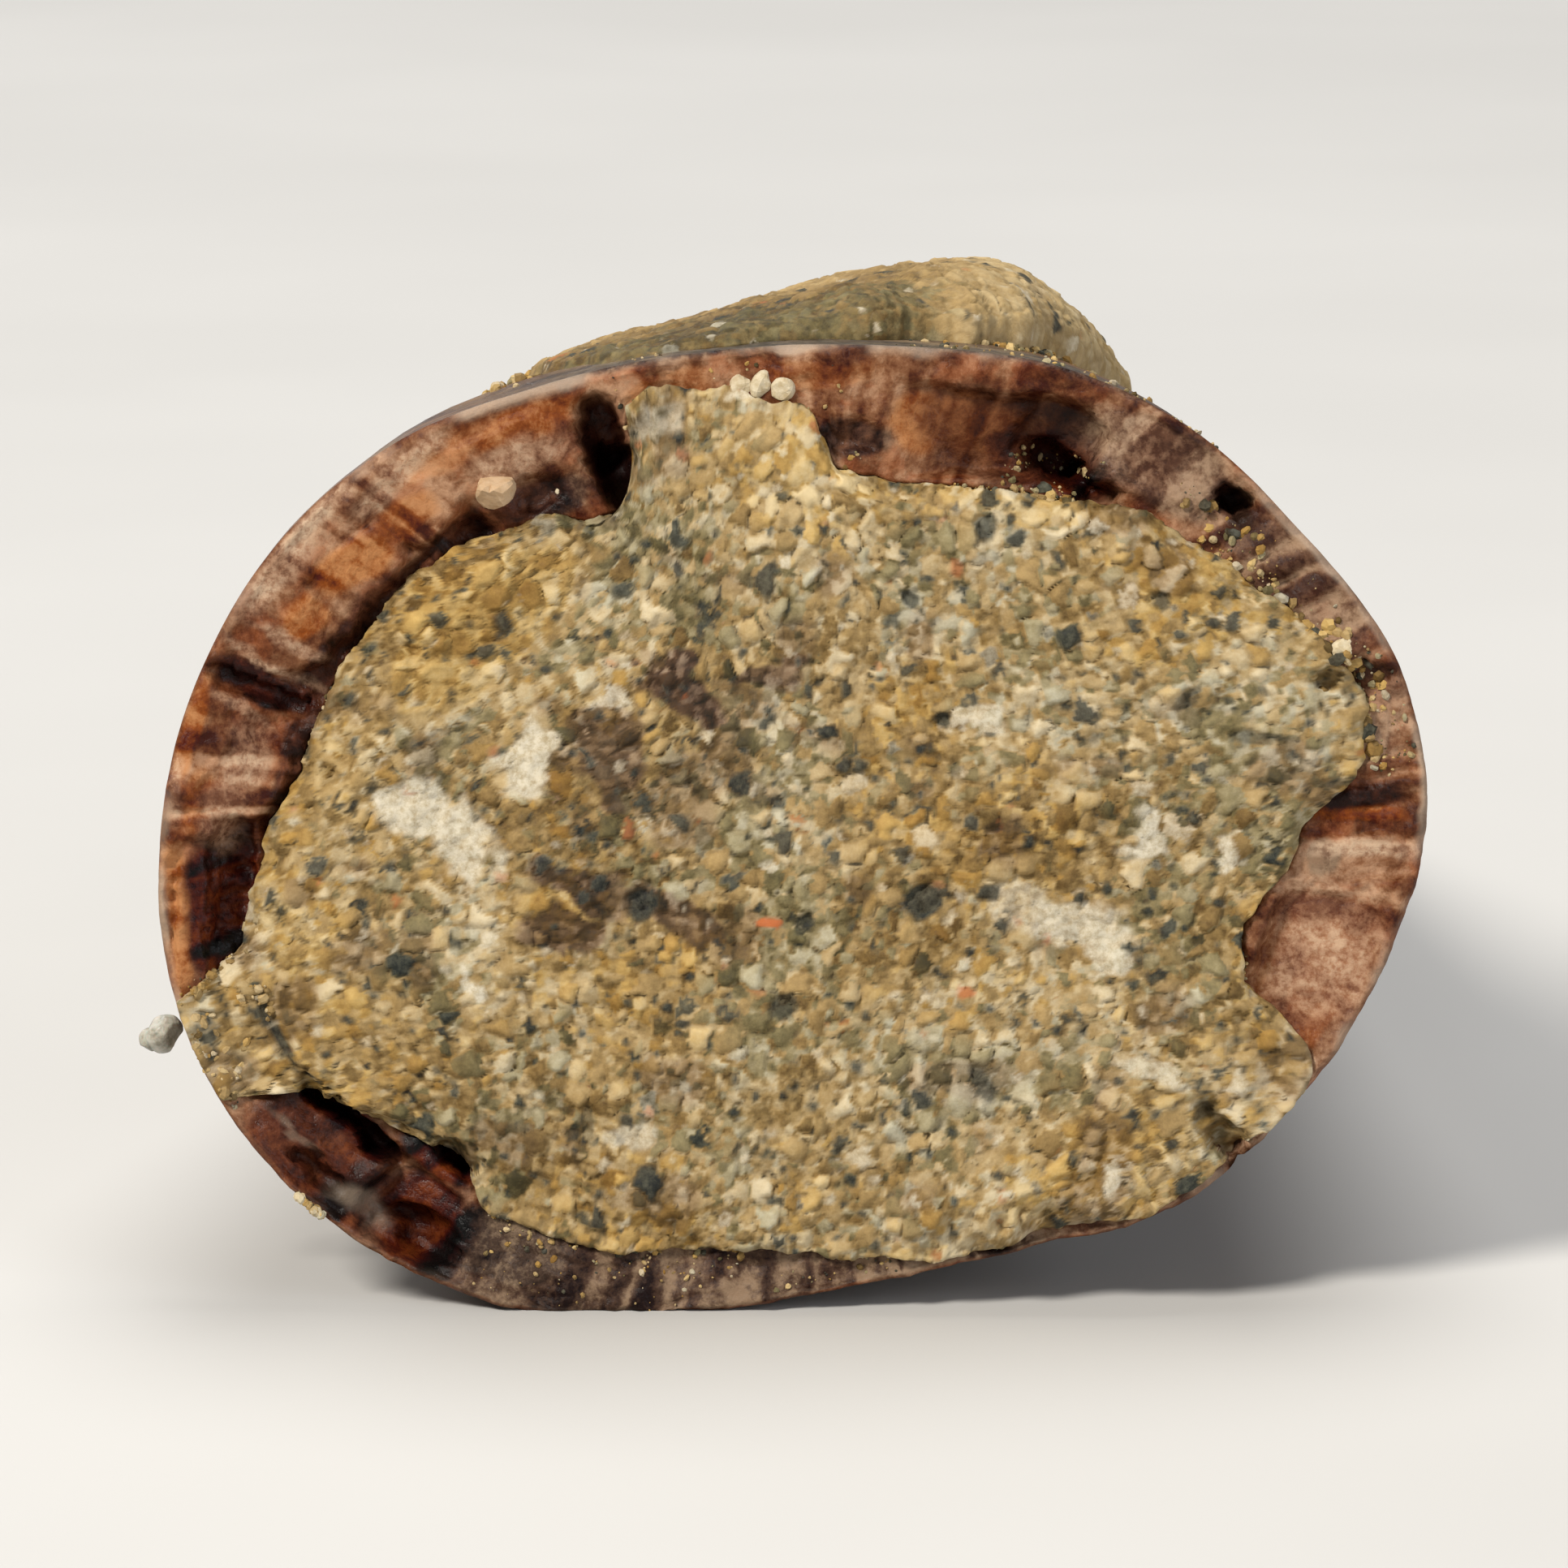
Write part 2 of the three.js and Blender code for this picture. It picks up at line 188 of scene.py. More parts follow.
class Grains:
    """Packed sand grains: which grain and which second one are nearest to every point, and how near."""

    def __init__(self, place, spacing, seed):
        self.seed = seed
        warp = [0.22 * spacing * noise(*place.T, 0.7 * spacing, seed + n) for n in (31, 37, 41)]
        flat = place + np.stack(warp, axis=1)
        cell = np.floor(flat / spacing).astype(np.int64)
        near, second = np.full(len(flat), 1e9), np.full(len(flat), 1e9)
        middle = np.zeros(flat.shape)
        self.key, self.other = (np.zeros(flat.shape, dtype=np.int64) for _ in range(2))
        for step in np.ndindex(3, 3, 3):
            key = cell + np.array(step) - 1
            *spot, size = (hashed(*key.T, n, seed) for n in range(4))
            centre = (key + 0.05 + 0.9 * np.stack(spot, axis=1)) * spacing
            away = np.linalg.norm(flat - centre, axis=1) / (0.65 + 0.7 * size) / spacing
            closer, runner_up = away < near, (away >= near) & (away < second)
            second = np.where(closer, near, np.minimum(second, away))
            self.other[closer], self.other[runner_up] = self.key[closer], key[runner_up]
            near = np.where(closer, away, near)
            middle[closer], self.key[closer] = centre[closer], key[closer]
        self.near, self.gap = near, second - near
        self.offset = (flat - middle) / spacing
        # How much of the nearest grain shows, for soft borders between grains.
        self.own = clip01(0.5 + 0.5 * self.gap * spacing / GRAIN_BLUR)

    def fact(self, number, key=None):
        """Random value from 0 to 1 that belongs to the nearest grain, or to another one."""
        return hashed(*(self.key if key is None else key).T, number, self.seed)

    def blend(self, number, view=lambda value: value):
        """The same value, or what a function makes of it, with soft borders between grains."""
        return mix(1.0 * view(self.fact(number, self.other)), 1.0 * view(self.fact(number)), self.own)

    def height(self, plucked=0.07):
        """Top of the grain over the joints, from 0 to about 1. A share of the grains is plucked out."""
        body = 1 - (1 - clip01(self.gap * 2.2)) ** 2.2
        lean = sum((self.fact(20 + axis) - 0.5) * self.offset[:, axis] for axis in range(3))
        top = clip01(body * (0.3 + 0.7 * self.fact(24)) + 1.3 * body * lean)
        return np.where(self.fact(26) < plucked, -0.5 * body, top)


# ---- Shape of the tooth, as in the part ----


def around(values, angle):
    """Value of an evenly spaced closed list at an angle, through a Catmull-Rom curve."""
    n = len(values)
    place = (angle / TURN) % 1.0 * n
    i = np.floor(place).astype(int)
    f = place - i
    a, b, c, d = (values[(i + k) % n] for k in (-1, 0, 1, 2))
    return b + 0.5 * f * (c - a + f * (2 * a - 5 * b + 4 * c - d + f * (3 * (b - c) + d - a)))


def unevenness(x, z):
    """Gentle unevenness of a broken surface, within about 1 either way."""
    return (0.5 * np.sin(0.9 * x + 1.3 * z + 0.4) + 0.3 * np.sin(2.3 * x - 1.7 * z + 1.9)
            + 0.2 * np.sin(3.1 * x + 3.7 * z - 0.8))


def base_radius(angle):
    return around(BASE_RADII, angle)


def cavity_radius(angle):
    return base_radius(angle) - around(WALL_THICKNESS, angle)


def stone_edge(angle):
    """Edge of the sandstone, with the raggedness of its grains."""
    degrees = np.degrees(angle) % 360
    edge = np.interp(degrees, STONE_EDGE[:, 0], STONE_EDGE[:, 1], period=360)
    for at, width, out in EDGE_CRUSTS:
        edge = edge + out * bell(degrees - at, width)
    edge = edge + 0.09 * layers_round(edge, angle, 0, 0.5, 101)
    return np.minimum(edge, base_radius(angle) - 0.04)


def rest_plane(y):
    return -REST_DEPTH + y * math.tan(REST_SLOPE)


def points(x, y, z):
    """Points as an array, worn off at the plane that the tooth rests on."""
    x, y, z = np.broadcast_arrays(x, y, z)
    return np.stack([x, y, np.maximum(z, rest_plane(y))], axis=-1)


def section_at(t):
    """Middle and half size of the crown's section at a share t of its height."""
    front = mix(TIP_X, -BASE_HALF_X, (1 - t ** 1.8) ** 0.75)
    rear = mix(BASE_HALF_X, TIP_X, t) - REAR_HOLLOW * np.sin(np.pi * t)
    swell = np.sin(np.pi * np.minimum(t / LABIAL_BULGE_END, 1)) ** 2
    outer = mix(TIP_Z, BASE_HALF_Z, (1 - t ** 1.5) ** 0.8) + LABIAL_BULGE * swell
    inner = mix(-BASE_HALF_Z, TIP_Z, t) + INNER_HOLLOW * np.sin(np.pi * t)
    return (front + rear) / 2, (rear - front) / 2, (outer + inner) / 2, (outer - inner) / 2


def axis_point(t, onward=0.0):
    """Middle of the section at a share t of the height, moved on towards the tip."""
    mid_x, _, mid_z, _ = section_at(t)
    return mid_x, t * CROWN_HEIGHT + onward, mid_z


def crown_point(angle, t, share=1.0, lift=0.0):
    """Point of the crown's outer surface, or drawn in towards the middle, or lifted off it."""
    t = np.maximum(t, 0.0)
    mid_x, half_x, mid_z, half_z = section_at(t)
    keeled = smooth(0.02, 0.5, t)
    radius = base_radius(angle)
    lens = np.sign(np.sin(angle)) * np.abs(np.sin(angle)) ** 1.4
    x = mix(radius * np.cos(angle) / BASE_HALF_X, np.cos(angle), keeled) * half_x
    z = mix(radius * np.sin(angle) / BASE_HALF_Z, lens, keeled) * half_z
    grow = share + lift / np.maximum(np.hypot(x, z), 0.2)
    return points(mid_x + x * grow, t * CROWN_HEIGHT, mid_z + z * grow)


def cavity_point(angle, d, clearance=0.0):
    """Point of the pulp cavity's wall at a share d of the cavity's depth."""
    narrowing = (1 - min(d, 1) ** 1.8) ** 0.7
    share = cavity_radius(angle) / base_radius(angle) * narrowing
    return crown_point(angle, d * CAVITY_SHARE, share, -clearance * min(1, narrowing * 4))


def stone_face_depth(x, z):
    return -STONE_RISE + 0.25 * unevenness(0.5 * x, 0.5 * z)


def ellipse(x, z, at_x, at_z, along, across, turn, power):
    """Distance from an ellipse's centre as a share of its half sizes. A higher power squares it off."""
    c, s = math.cos(math.radians(turn)), math.sin(math.radians(turn))
    u = np.abs((x - at_x) * c + (z - at_z) * s) / along
    v = np.abs((z - at_z) * c - (x - at_x) * s) / across
    return (u ** power + v ** power) ** (1 / power)


def spread(x, z, spots, ragged=0.12, size=0.6, soft=0.2, seed=81):
    """Strength from 0 to 1 of a look that lies in ragged ellipses at listed places."""
    x = x + ragged * layers(x, 2, z, size, seed)
    z = z + ragged * layers(x, 4, z, size, seed + 2)
    total = np.zeros(np.shape(x))
    for *spot, strength in spots:
        off = ellipse(x, z, *spot, 2.4)
        total = np.maximum(total, strength * smooth(0.95 + soft, 0.95 - soft, off))
    return total


# ---- Meshes ----


def laid_down(place):
    """Points of the tooth frame, in mm, as they lie in the shared frame, in metres."""
    c, s = math.cos(REST_SLOPE), math.sin(REST_SLOPE)
    x, y, z = place[..., 0], place[..., 1], place[..., 2]
    return MM * np.stack([x + BASE_CENTRE[0], c * y + s * z + BASE_CENTRE[1],
                          c * z - s * y + c * REST_DEPTH], axis=-1)


class Skin:
    """Points, faces and the facts that every point carries, such as how stained it is."""

    def __init__(self, *facts):
        self.points, self.faces, self.kinds = [], [], []
        self.facts = {name: [] for name in facts}
        self.count = 0

    def add_points(self, place, **facts):
        place = np.asarray(place, dtype=float).reshape(-1, 3)
        start, size = self.count, len(place)
        self.points.append(place)
        for name, parts in self.facts.items():
            parts.append(np.broadcast_to(np.ravel(facts.get(name, 0.0)), (size,)))
        self.count += size
        return start

    def add_faces(self, faces, kind=0):
        self.faces.append(faces)
        self.kinds.append(np.full(len(faces), kind))

    def rings(self, place, kind=0, after=None, **facts):
        """Closed rings of points with faces between them, joined to the ring before them."""
        rows, size = place.shape[:2]
        start = self.add_points(place, **facts)
        made = [start + row * size + np.arange(size) for row in range(rows)]
        made = made if after is None else [after] + made
        for one, two in zip(made, made[1:]):
            self.bridge(one, two, kind)
        return made[-1]

    def bridge(self, one, two, kind=0):
        """Faces between two rings of the same size, or where one is a whole multiple of the other."""
        if len(one) == len(two):
            self.add_faces(np.stack([one, np.roll(one, -1), np.roll(two, -1), two], axis=1), kind)
            return
        fine, coarse = (one, two) if len(one) > len(two) else (two, one)
        ratio, order = len(fine) // len(coarse), 1 if fine is one else -1
        nearest = coarse[(np.arange(len(fine)) + ratio // 2) // ratio % len(coarse)]
        for corners in ((fine, np.roll(fine, -1), nearest),
                        (fine[(ratio + 1) // 2::ratio], np.roll(coarse, -1), coarse)):
            self.add_faces(np.stack(corners, axis=1)[:, ::order], kind)

    def cap(self, ring, point, kind=0, last=False, **facts):
        """Faces from a single point to the first ring, or from the last ring to it."""
        centre = np.full(len(ring), self.add_points(point, **facts))
        after = np.roll(ring, -1)
        face = [centre, ring, after] if last else [centre, after, ring]
        self.add_faces(np.stack(face, axis=1), kind)

    def closed_rings(self, rows, point, **facts):
        """Rings that start from a single point."""
        last = self.rings(np.stack(rows), **facts)
        self.cap(last - (len(rows) - 1) * len(last), point, **facts)
        return last

    def build(self, name, materials, soft):
        place = np.concatenate(self.points)
        faces = [face for part in self.faces for face in part.tolist()]
        mesh = bpy.data.meshes.new(name)
        mesh.from_pydata(laid_down(place), [], faces, shade_flat=not soft)
        mesh.polygons.foreach_set("material_index", np.concatenate(self.kinds).astype(np.int32))
        mesh.attributes.new("place", "FLOAT_VECTOR", "POINT").data.foreach_set("vector", place.ravel())
        for fact, parts in self.facts.items():
            values = np.concatenate(parts)
            mesh.attributes.new(fact, "FLOAT", "POINT").data.foreach_set("value", values)
        for material in materials:
            mesh.materials.append(material)
        mesh.validate()
        return put_in_scene(name, mesh)


def put_in_scene(name, data):
    """New object in the scene with that mesh, light or camera."""
    made = bpy.data.objects.new(name, data)
    bpy.context.scene.collection.objects.link(made)
    return made


def ball(rows, turns):
    """Points of a unit ball, its quads and its triangles."""
    slope = (math.pi - np.arange(1, rows) * (math.pi / rows))[:, None]
    sides = np.broadcast_arrays(*ring(np.sin(slope), turn_angles(turns)), np.cos(slope))
    sides = np.stack(sides, axis=-1).reshape(-1, 3)
    number = np.arange(len(sides)).reshape(rows - 1, turns)
    after = np.roll(number, -1, axis=1)
    quads = np.stack([number[:-1], after[:-1], after[1:], number[1:]], axis=-1).reshape(-1, 4)
    ends = [np.full(turns, len(sides)), np.full(turns, len(sides) + 1)]
    triangles = np.concatenate([np.stack([ends[0], after[0], number[0]], axis=1),
                                np.stack([ends[1], number[-1], after[-1]], axis=1)])
    return np.concatenate([sides, [(0, 0, -1), (0, 0, 1)]]), quads, triangles


def turn_angles(count, crowd=0.0):
    """Angles round the tooth, crowded together at its front and rear edges."""
    angle = np.arange(count) * (TURN / count)
    return angle - crowd * np.sin(2 * angle)


# ---- Tooth: places on the broken rim ----

# Knocked-out places: centre x, z, half sizes along and across, turn in degrees, depth, and how steep
# the sides are, from 0 for a bowl to 1 for a trench.
PITS = (
    (-2.8, 5.62, 0.6, 0.34, -72, 0.65, 0.85),
    (-2.5, 4.95, 0.5, 0.33, -72, 0.8, 0.5),
    (3.85, 5.08, 0.55, 0.28, -35, 0.5, 0.2),
    (4.2, 4.85, 0.45, 0.26, -15, 0.6, 0.2),
    (6.25, 4.68, 0.36, 0.2, -66, 0.8, 0.4),
    (8.15, 2.1, 0.42, 0.38, 60, 0.22, 0.3),
    (7.6, 2.15, 0.2, 0.24, 60, 0.45, 0.4),
    (6.08, -4.4, 0.5, 0.22, -48, 0.8, 0.5),
    (-6.48, -4.19, 1.05, 0.17, -42, 1.1, 0.7),
    (-4.85, -4.8, 0.4, 0.28, -30, 1.0, 0.4),
    (-6.85, -4.95, 0.5, 0.2, -40, 0.4, 0.1),
    (-5.4, -5.9, 0.7, 0.35, -35, 0.5, 0.2),
    (-7.7, 1.95, 0.85, 0.2, -22, 0.28, 0.4),
    (-3.7, 4.8, 0.45, 0.3, 20, 0.3, 0.3),
    (-4.6, 4.2, 0.4, 0.22, 40, 0.25, 0.3),
    (0.85, 5.6, 0.5, 0.25, 5, 0.2, 0.3),
    (-8.1, -1.1, 1.25, 0.36, 88, 0.25, 0.3),
    (-5.9, 3.2, 1.1, 0.16, 52, 0.2, 0.4),
)
# Flat breaks: centre x, z, half sizes along and across, turn, depth at the middle, and its slopes
# towards +X and towards +Z.
BREAKS = (
    (2.0, 5.7, 0.7, 0.62, -8, 0.25, 0.28, -0.1),
    (2.9, 5.6, 0.75, 0.62, -8, 0.45, 0.15, -0.25),
    (3.75, 5.5, 0.6, 0.55, -25, 0.7, -0.1, -0.3),
    (7.5, -1.95, 1.05, 0.85, 78, 0.14, -0.1, 0.08),
    (7.95, -0.45, 0.85, 0.33, 0, 0.08, 0.05, -0.15),
    (-5.4, -5.75, 0.9, 0.62, -40, 0.42, -0.3, 0.12),
    (-6.9, -5.0, 0.8, 0.4, -42, 0.22, 0.08, -0.1),
    (-6.2, 3.75, 0.65, 0.4, 40, 0.22, 0.1, -0.25),
    (-7.2, 2.6, 0.5, 0.4, 10, 0.18, 0.2, -0.2),
    (-4.3, 5.3, 0.9, 0.42, 24, 0.05, 0.05, -0.25),
    (-8.6, -1.3, 1.2, 0.24, 88, 0.08, 0.25, 0.0),
    (-7.9, 0.7, 0.6, 0.5, 60, 0.15, 0.25, 0.1),
    (-5.3, 4.6, 0.5, 0.4, 35, 0.15, -0.1, -0.2),
    (5.3, 5.35, 0.8, 0.5, -28, 0.1, 0.05, -0.05),
)
# The inner part of the rim drops away towards the stone: from and to an angle, how deep.
GROOVES = ((126, 190, 0.16), (186, 197, 0.1), (66, 82, 0.1))

# Places on the rim by look: centre x, z, half sizes along and across, turn in degrees, strength.
# Dark spots are the dentine's own dark red-brown; those laid over the pits and the crack also paint the
# shade inside them.
DARK_DENTINE = (
    (2.95, 5.6, 1.4, 0.72, -14, 0.68), (3.5, 5.2, 1.0, 0.4, -20, 0.9), (4.0, 5.15, 0.75, 0.5, -28, 1.0),
    (3.2, 6.0, 1.1, 0.14, -6, 0.7), (-2.66, 5.3, 0.85, 0.36, -72, 0.9), (0.8, 5.55, 0.5, 0.28, 0, 0.7),
    (7.8, 0.5, 1.0, 0.25, 0, 0.8), (8.25, 2.05, 0.4, 0.42, 60, 0.65), (6.25, 4.65, 0.36, 0.22, -66, 0.9),
    (-6.9, -4.9, 1.35, 0.85, -42, 0.9), (-5.4, -5.75, 0.85, 0.75, -40, 1.0),
    (-6.48, -4.19, 1.1, 0.32, -42, 1.0), (-8.2, -1.15, 1.3, 0.58, 88, 1.0),
    (-7.6, 2.02, 0.95, 0.26, -22, 0.95), (-3.7, 4.7, 0.6, 0.34, 20, 0.8), (6.5, -4.0, 0.6, 0.3, -48, 0.6),
    (6.9, -2.5, 0.2, 0.9, -15, 0.45), (-4.7, 4.2, 1.1, 0.26, 40, 0.8), (-6.4, 2.7, 1.3, 0.26, 55, 0.8),
    (-7.15, 0.6, 1.1, 0.28, 82, 0.75), (-8.5, -2.5, 0.5, 0.35, 88, 0.7),
    (-6.3, -4.9, 1.1, 0.22, -42, 0.9), (-5.05, -4.75, 0.75, 0.4, -35, 1.0),
)
ORANGE_DENTINE = (
    (1.75, 5.75, 0.38, 0.5, -20, 0.95), (2.6, 5.7, 0.9, 0.5, -8, 1.0), (3.4, 5.7, 0.4, 0.2, -20, 0.6),
    (2.5, 5.3, 0.5, 0.2, -10, 0.6), (7.5, -1.95, 1.0, 0.8, 78, 0.55), (6.9, -2.2, 0.25, 0.8, -12, 0.7),
    (7.6, -2.75, 0.5, 0.2, 50, 0.8), (8.05, 0.2, 0.75, 0.12, 0, 1.0), (-8.85, -1.5, 1.4, 0.22, 89, 0.9),
    (-5.1, 5.35, 0.9, 0.25, 32, 0.5), (-6.35, 3.75, 0.6, 0.32, 30, 1.0),
    (-7.05, 3.05, 0.4, 0.28, 20, 0.95), (-8.7, 1.4, 0.8, 0.22, 72, 0.9), (-5.6, 4.4, 0.5, 0.25, 30, 0.7),
    (-3.9, 5.75, 0.8, 0.25, 26, 0.75), (7.0, -3.1, 0.5, 0.2, 50, 0.6), (-8.5, 0.4, 0.5, 0.25, 80, 0.6),
    (-6.85, -4.52, 0.5, 0.07, -47, 1.0), (-1.8, 6.3, 0.7, 0.25, 14, 0.5), (0.3, 6.5, 0.8, 0.2, 0, 0.45),
)
PALE_DENTINE = (
    (-3.95, 5.3, 0.7, 0.26, 22, 0.7), (-7.5, 2.32, 0.7, 0.07, -26, 1.0),
    (-7.3, 2.65, 0.6, 0.08, -25, 0.9), (-7.95, 1.68, 0.5, 0.08, -34, 0.9),
    (8.2, -0.32, 0.8, 0.14, 0, 0.9), (7.1, 3.7, 1.6, 0.6, -48, 0.15), (-7.15, 4.1, 1.5, 0.2, 52, 0.95),
    (8.4, 1.5, 0.7, 0.4, 75, 0.2), (5.0, 5.3, 1.0, 0.5, -28, 0.35), (6.9, -4.2, 1.3, 0.3, 48, 0.8),
    (-5.7, 5.05, 0.9, 0.2, 42, 0.7), (-7.3, 3.7, 0.7, 0.2, 52, 0.9),
    (-7.9, 1.0, 0.5, 0.3, 75, 0.7), (-8.2, 0.2, 0.5, 0.32, 85, 0.8), (-8.85, 0.5, 0.4, 0.12, 85, 0.8),
    (7.6, -1.9, 1.0, 0.8, 78, 0.75), (5.0, 5.75, 0.7, 0.16, -24, 0.5), (-6.0, 4.6, 0.4, 0.12, 45, 0.7),
)
GREY_DENTINE = (
    (-3.35, 4.75, 0.5, 0.3, 20, 0.8), (7.65, 2.2, 0.25, 0.3, 60, 0.9), (7.6, -0.45, 0.3, 0.3, 0, 0.8),
    (0.0, -6.5, 6.0, 0.85, 0, 0.9), (-4.2, -6.1, 1.1, 0.6, -18, 1.0), (4.6, -5.5, 2.2, 0.5, 25, 0.6),
    (-7.1, 0.4, 0.9, 0.2, 82, 0.5), (0.8, 5.55, 0.6, 0.25, 0, 0.8), (8.1, 1.2, 0.5, 0.3, 30, 0.55),
    (5.2, 5.2, 1.4, 0.6, -30, 0.7), (7.2, 3.4, 1.5, 0.6, -48, 0.6),
)
# Where the light catches a break, in the same way.
SHINE = ((-6.25, -5.5, 0.45, 0.2, -38, 0.5), (-7.15, -4.5, 0.5, 0.06, -45, 0.35))
SOFT_SPREAD = (0.1, 0.4, 0.45)  # how ragged the pale places are, in which size, and how soft
# How far round the thin pale line of broken enamel shows, partly the enamel's own pale edge and partly a
# painted highlight along it: from and to an angle.
PALE_EDGES = ((66, 204), (318, 398))


def rim_inner(angle):
    """Inner edge of the rim, which runs up to the stone, or on a little under it."""
    edge = stone_edge(angle)
    return np.minimum(edge + 0.01, np.maximum(cavity_radius(angle), edge - 0.5))


def edge_pale_and_highlight(angle):
    """Strength of the pale line of broken enamel round the rim, partly its own colour and partly a painted
    highlight.
    """
    degrees = np.degrees(angle) % 360
    shown = 0.08
    for low, high in PALE_EDGES:
        for turn in (degrees, degrees + 360):
            shown = np.maximum(shown, smooth(low - 6, low + 6, turn) * smooth(high + 6, high - 6, turn))
    return shown * smooth(-0.5, 0.5, layers_round(8, angle, 3, 0.9, 93))


def warped(x, z, reach, size, seed):
    """Places shifted about a little, so that outlines drawn through them are ragged."""
    return x + reach * layers(x, 7, z, size, seed), z + reach * layers(x, 9, z, size, seed + 2)


def pit_depth(x, z):
    """How deep the base is knocked out."""
    warp_x, warp_z = warped(x, z, 0.13, 0.36, 31)
    depth = 0.0
    for *spot, deep, steep in PITS:
        off = ellipse(warp_x, warp_z, *spot, 2.0 + 1.2 * steep)
        bowl = np.sqrt(clip01(1 - off ** 2))
        trench = smooth(1.08, 0.8, off) * (0.7 + 0.3 * bowl)
        depth = depth + deep * mix(bowl, trench, steep)
    return depth


def splinters(x, z):
    """Relief of the dentine's tubes and splinters, which run outwards, from about -1 to 1."""
    angle, radius = polar(x, z)
    coarse = layers_round(8, angle, radius * 0.16, 0.42, 9, 2)
    fine = layers_round(8, angle, radius * 0.3, 0.13, 13, 2)
    ring_x, ring_z = ring(8, angle)
    here = smooth(-0.5, 0.35, noise(ring_x, 0, ring_z, 2.4, 15))
    return (0.7 * (1 - 2 * np.abs(coarse)) + 0.3 * fine) * (0.25 + 0.75 * here)


# Relief of the broken rim, in mm.
RIM_SWELL = 0.14
FACET_DEPTH = 0.13
FACET_STEPS = 3.2  # for each unit of the facets' noise
SPLINTER_DEPTH = 0.085
RIM_ROUGHNESS = 0.035


def rim_depth(x, z):
    """How deep the broken rim lies under the base plane."""
    angle, radius = polar(x, z)
    outer, inner = base_radius(angle), rim_inner(angle)
    inward = clip01((outer - radius) / (outer - inner))
    depth = RIM_SWELL * unevenness(*ring(outer, angle))
    depth = depth + inward * (0.1 + 0.3 * np.maximum(0, -np.cos(angle)))
    degrees = np.degrees(angle) % 360
    from_wall = (outer - radius) / (outer - cavity_radius(angle))
    for low, high, deep in GROOVES:
        here = smooth(low, low + 7, degrees) * smooth(high, high - 7, degrees)
        ragged = 0.12 * layers(x, 5, z, 0.7, 7)
        depth = depth + deep * here * smooth(0.5, 0.85, from_wall + ragged)
    # Broken facets with small steps between them.
    away = smooth(0, 0.15, inward)
    swell = layers(x, 0, z, 1.3, 3)
    steps = FACET_STEPS * swell + 0.8 * layers(x, 3, z, 0.6, 5, 2)
    facets = (np.floor(steps) + smooth(0.8, 1.0, steps - np.floor(steps))) / FACET_STEPS
    depth = depth + FACET_DEPTH * mix(swell, facets, 0.8) * away
    warp_x, warp_z = warped(x, z, 0.1, 0.6, 25)
    smoothed = np.zeros(np.shape(x))
    for *spot, level, slope_x, slope_z in BREAKS:
        flat = level + slope_x * (x - spot[0]) + slope_z * (z - spot[1])
        here = smooth(1.12, 0.88, ellipse(warp_x, warp_z, *spot, 3.5)) * smooth(0.02, 0.12, inward)
        depth = mix(depth, flat, here)
        smoothed = np.maximum(smoothed, here)
    rough = 1 - 0.65 * smoothed
    depth = depth + SPLINTER_DEPTH * splinters(x, z) * rough * mix(0.4, 1, away)
    depth = depth + RIM_ROUGHNESS * layers(x, 6, z, 0.45, 19, 2) * rough * away
    return depth + RIM_ROUGHNESS * layers(x, 8, z, 0.2, 17) * rough + pit_depth(x, z)


# ---- Tooth: enamel ----


def keel_height(t, keel):
    """Height of a saw-edged keel at a share of the crown's height."""
    low, high = keel
    place = (high - t) * CROWN_HEIGHT / DENTICLE_PITCH
    inside = smooth(high + 0.004, high - 0.012, t) * smooth(low - 0.02, low + 0.06, t)
    denticle = smooth(0.0, 0.7, 0.5 - 0.5 * np.cos(TURN * place))
    wear = 0.7 + 0.3 * noise(np.floor(place), 0, low * 50, 1.7, 71)
    return DENTICLE_HEIGHT * inside * (0.25 + 0.75 * denticle * wear)


def wall_point(angle, t):
    """Point of the enamel with its keels and fine relief, and what it looks like there."""
    angle, t = np.broadcast_arrays(angle, t)
    p = crown_point(angle, t)
    middle_x, _, middle_z, _ = section_at(np.maximum(t, 0))
    out = np.stack([p[..., 0] - middle_x, np.zeros(t.shape), p[..., 2] - middle_z], axis=-1)
    out = out / np.maximum(np.linalg.norm(out, axis=-1, keepdims=True), 1e-6)
    rear_off = np.abs((angle + math.pi) % TURN - math.pi)
    rear, front = (np.exp(-(off / KEEL_HALF_TURN) ** 1.5) * keel_height(t, keel)
                   for off, keel in ((rear_off, REAR_KEEL), (math.pi - rear_off, FRONT_KEEL)))
    x, y, z = p[..., 0], p[..., 1], p[..., 2]
    ribs = layers_round(7, angle, y * 0.08, 1.1, 41, 2)
    dents = layers(x, y, z, 2.4, 43)
    growth = layers_round(1.4, angle, y, 1.4, 47, 2)
    relief = RIB_HEIGHT * ribs + DENT_HEIGHT * dents + GROWTH_HEIGHT * growth
    relief = relief * mix(1, 0.3, smooth(0.95, 0.99, t)) * mix(0.3, 1, smooth(0.0, 2.5, y))
    grown = p + out * (rear + front + relief)[..., None]
    grown[..., 2] = np.maximum(grown[..., 2], rest_plane(grown[..., 1]))
    worn = smooth(0.10, 0.02, p[..., 2] - rest_plane(y)) + smooth(0.95, 0.99, t)
    keel = (rear + front) / DENTICLE_HEIGHT
    degrees = np.degrees(angle) % 360
    # Painted reflection: a grey sheen on the glossy enamel near the base on its outer side.
    grey = smooth(40, 62, degrees) * smooth(135, 112, degrees) * smooth(4.0, 1.5, y)
    return grown, {"keel": keel, "worn": clip01(worn), "grey": grey}


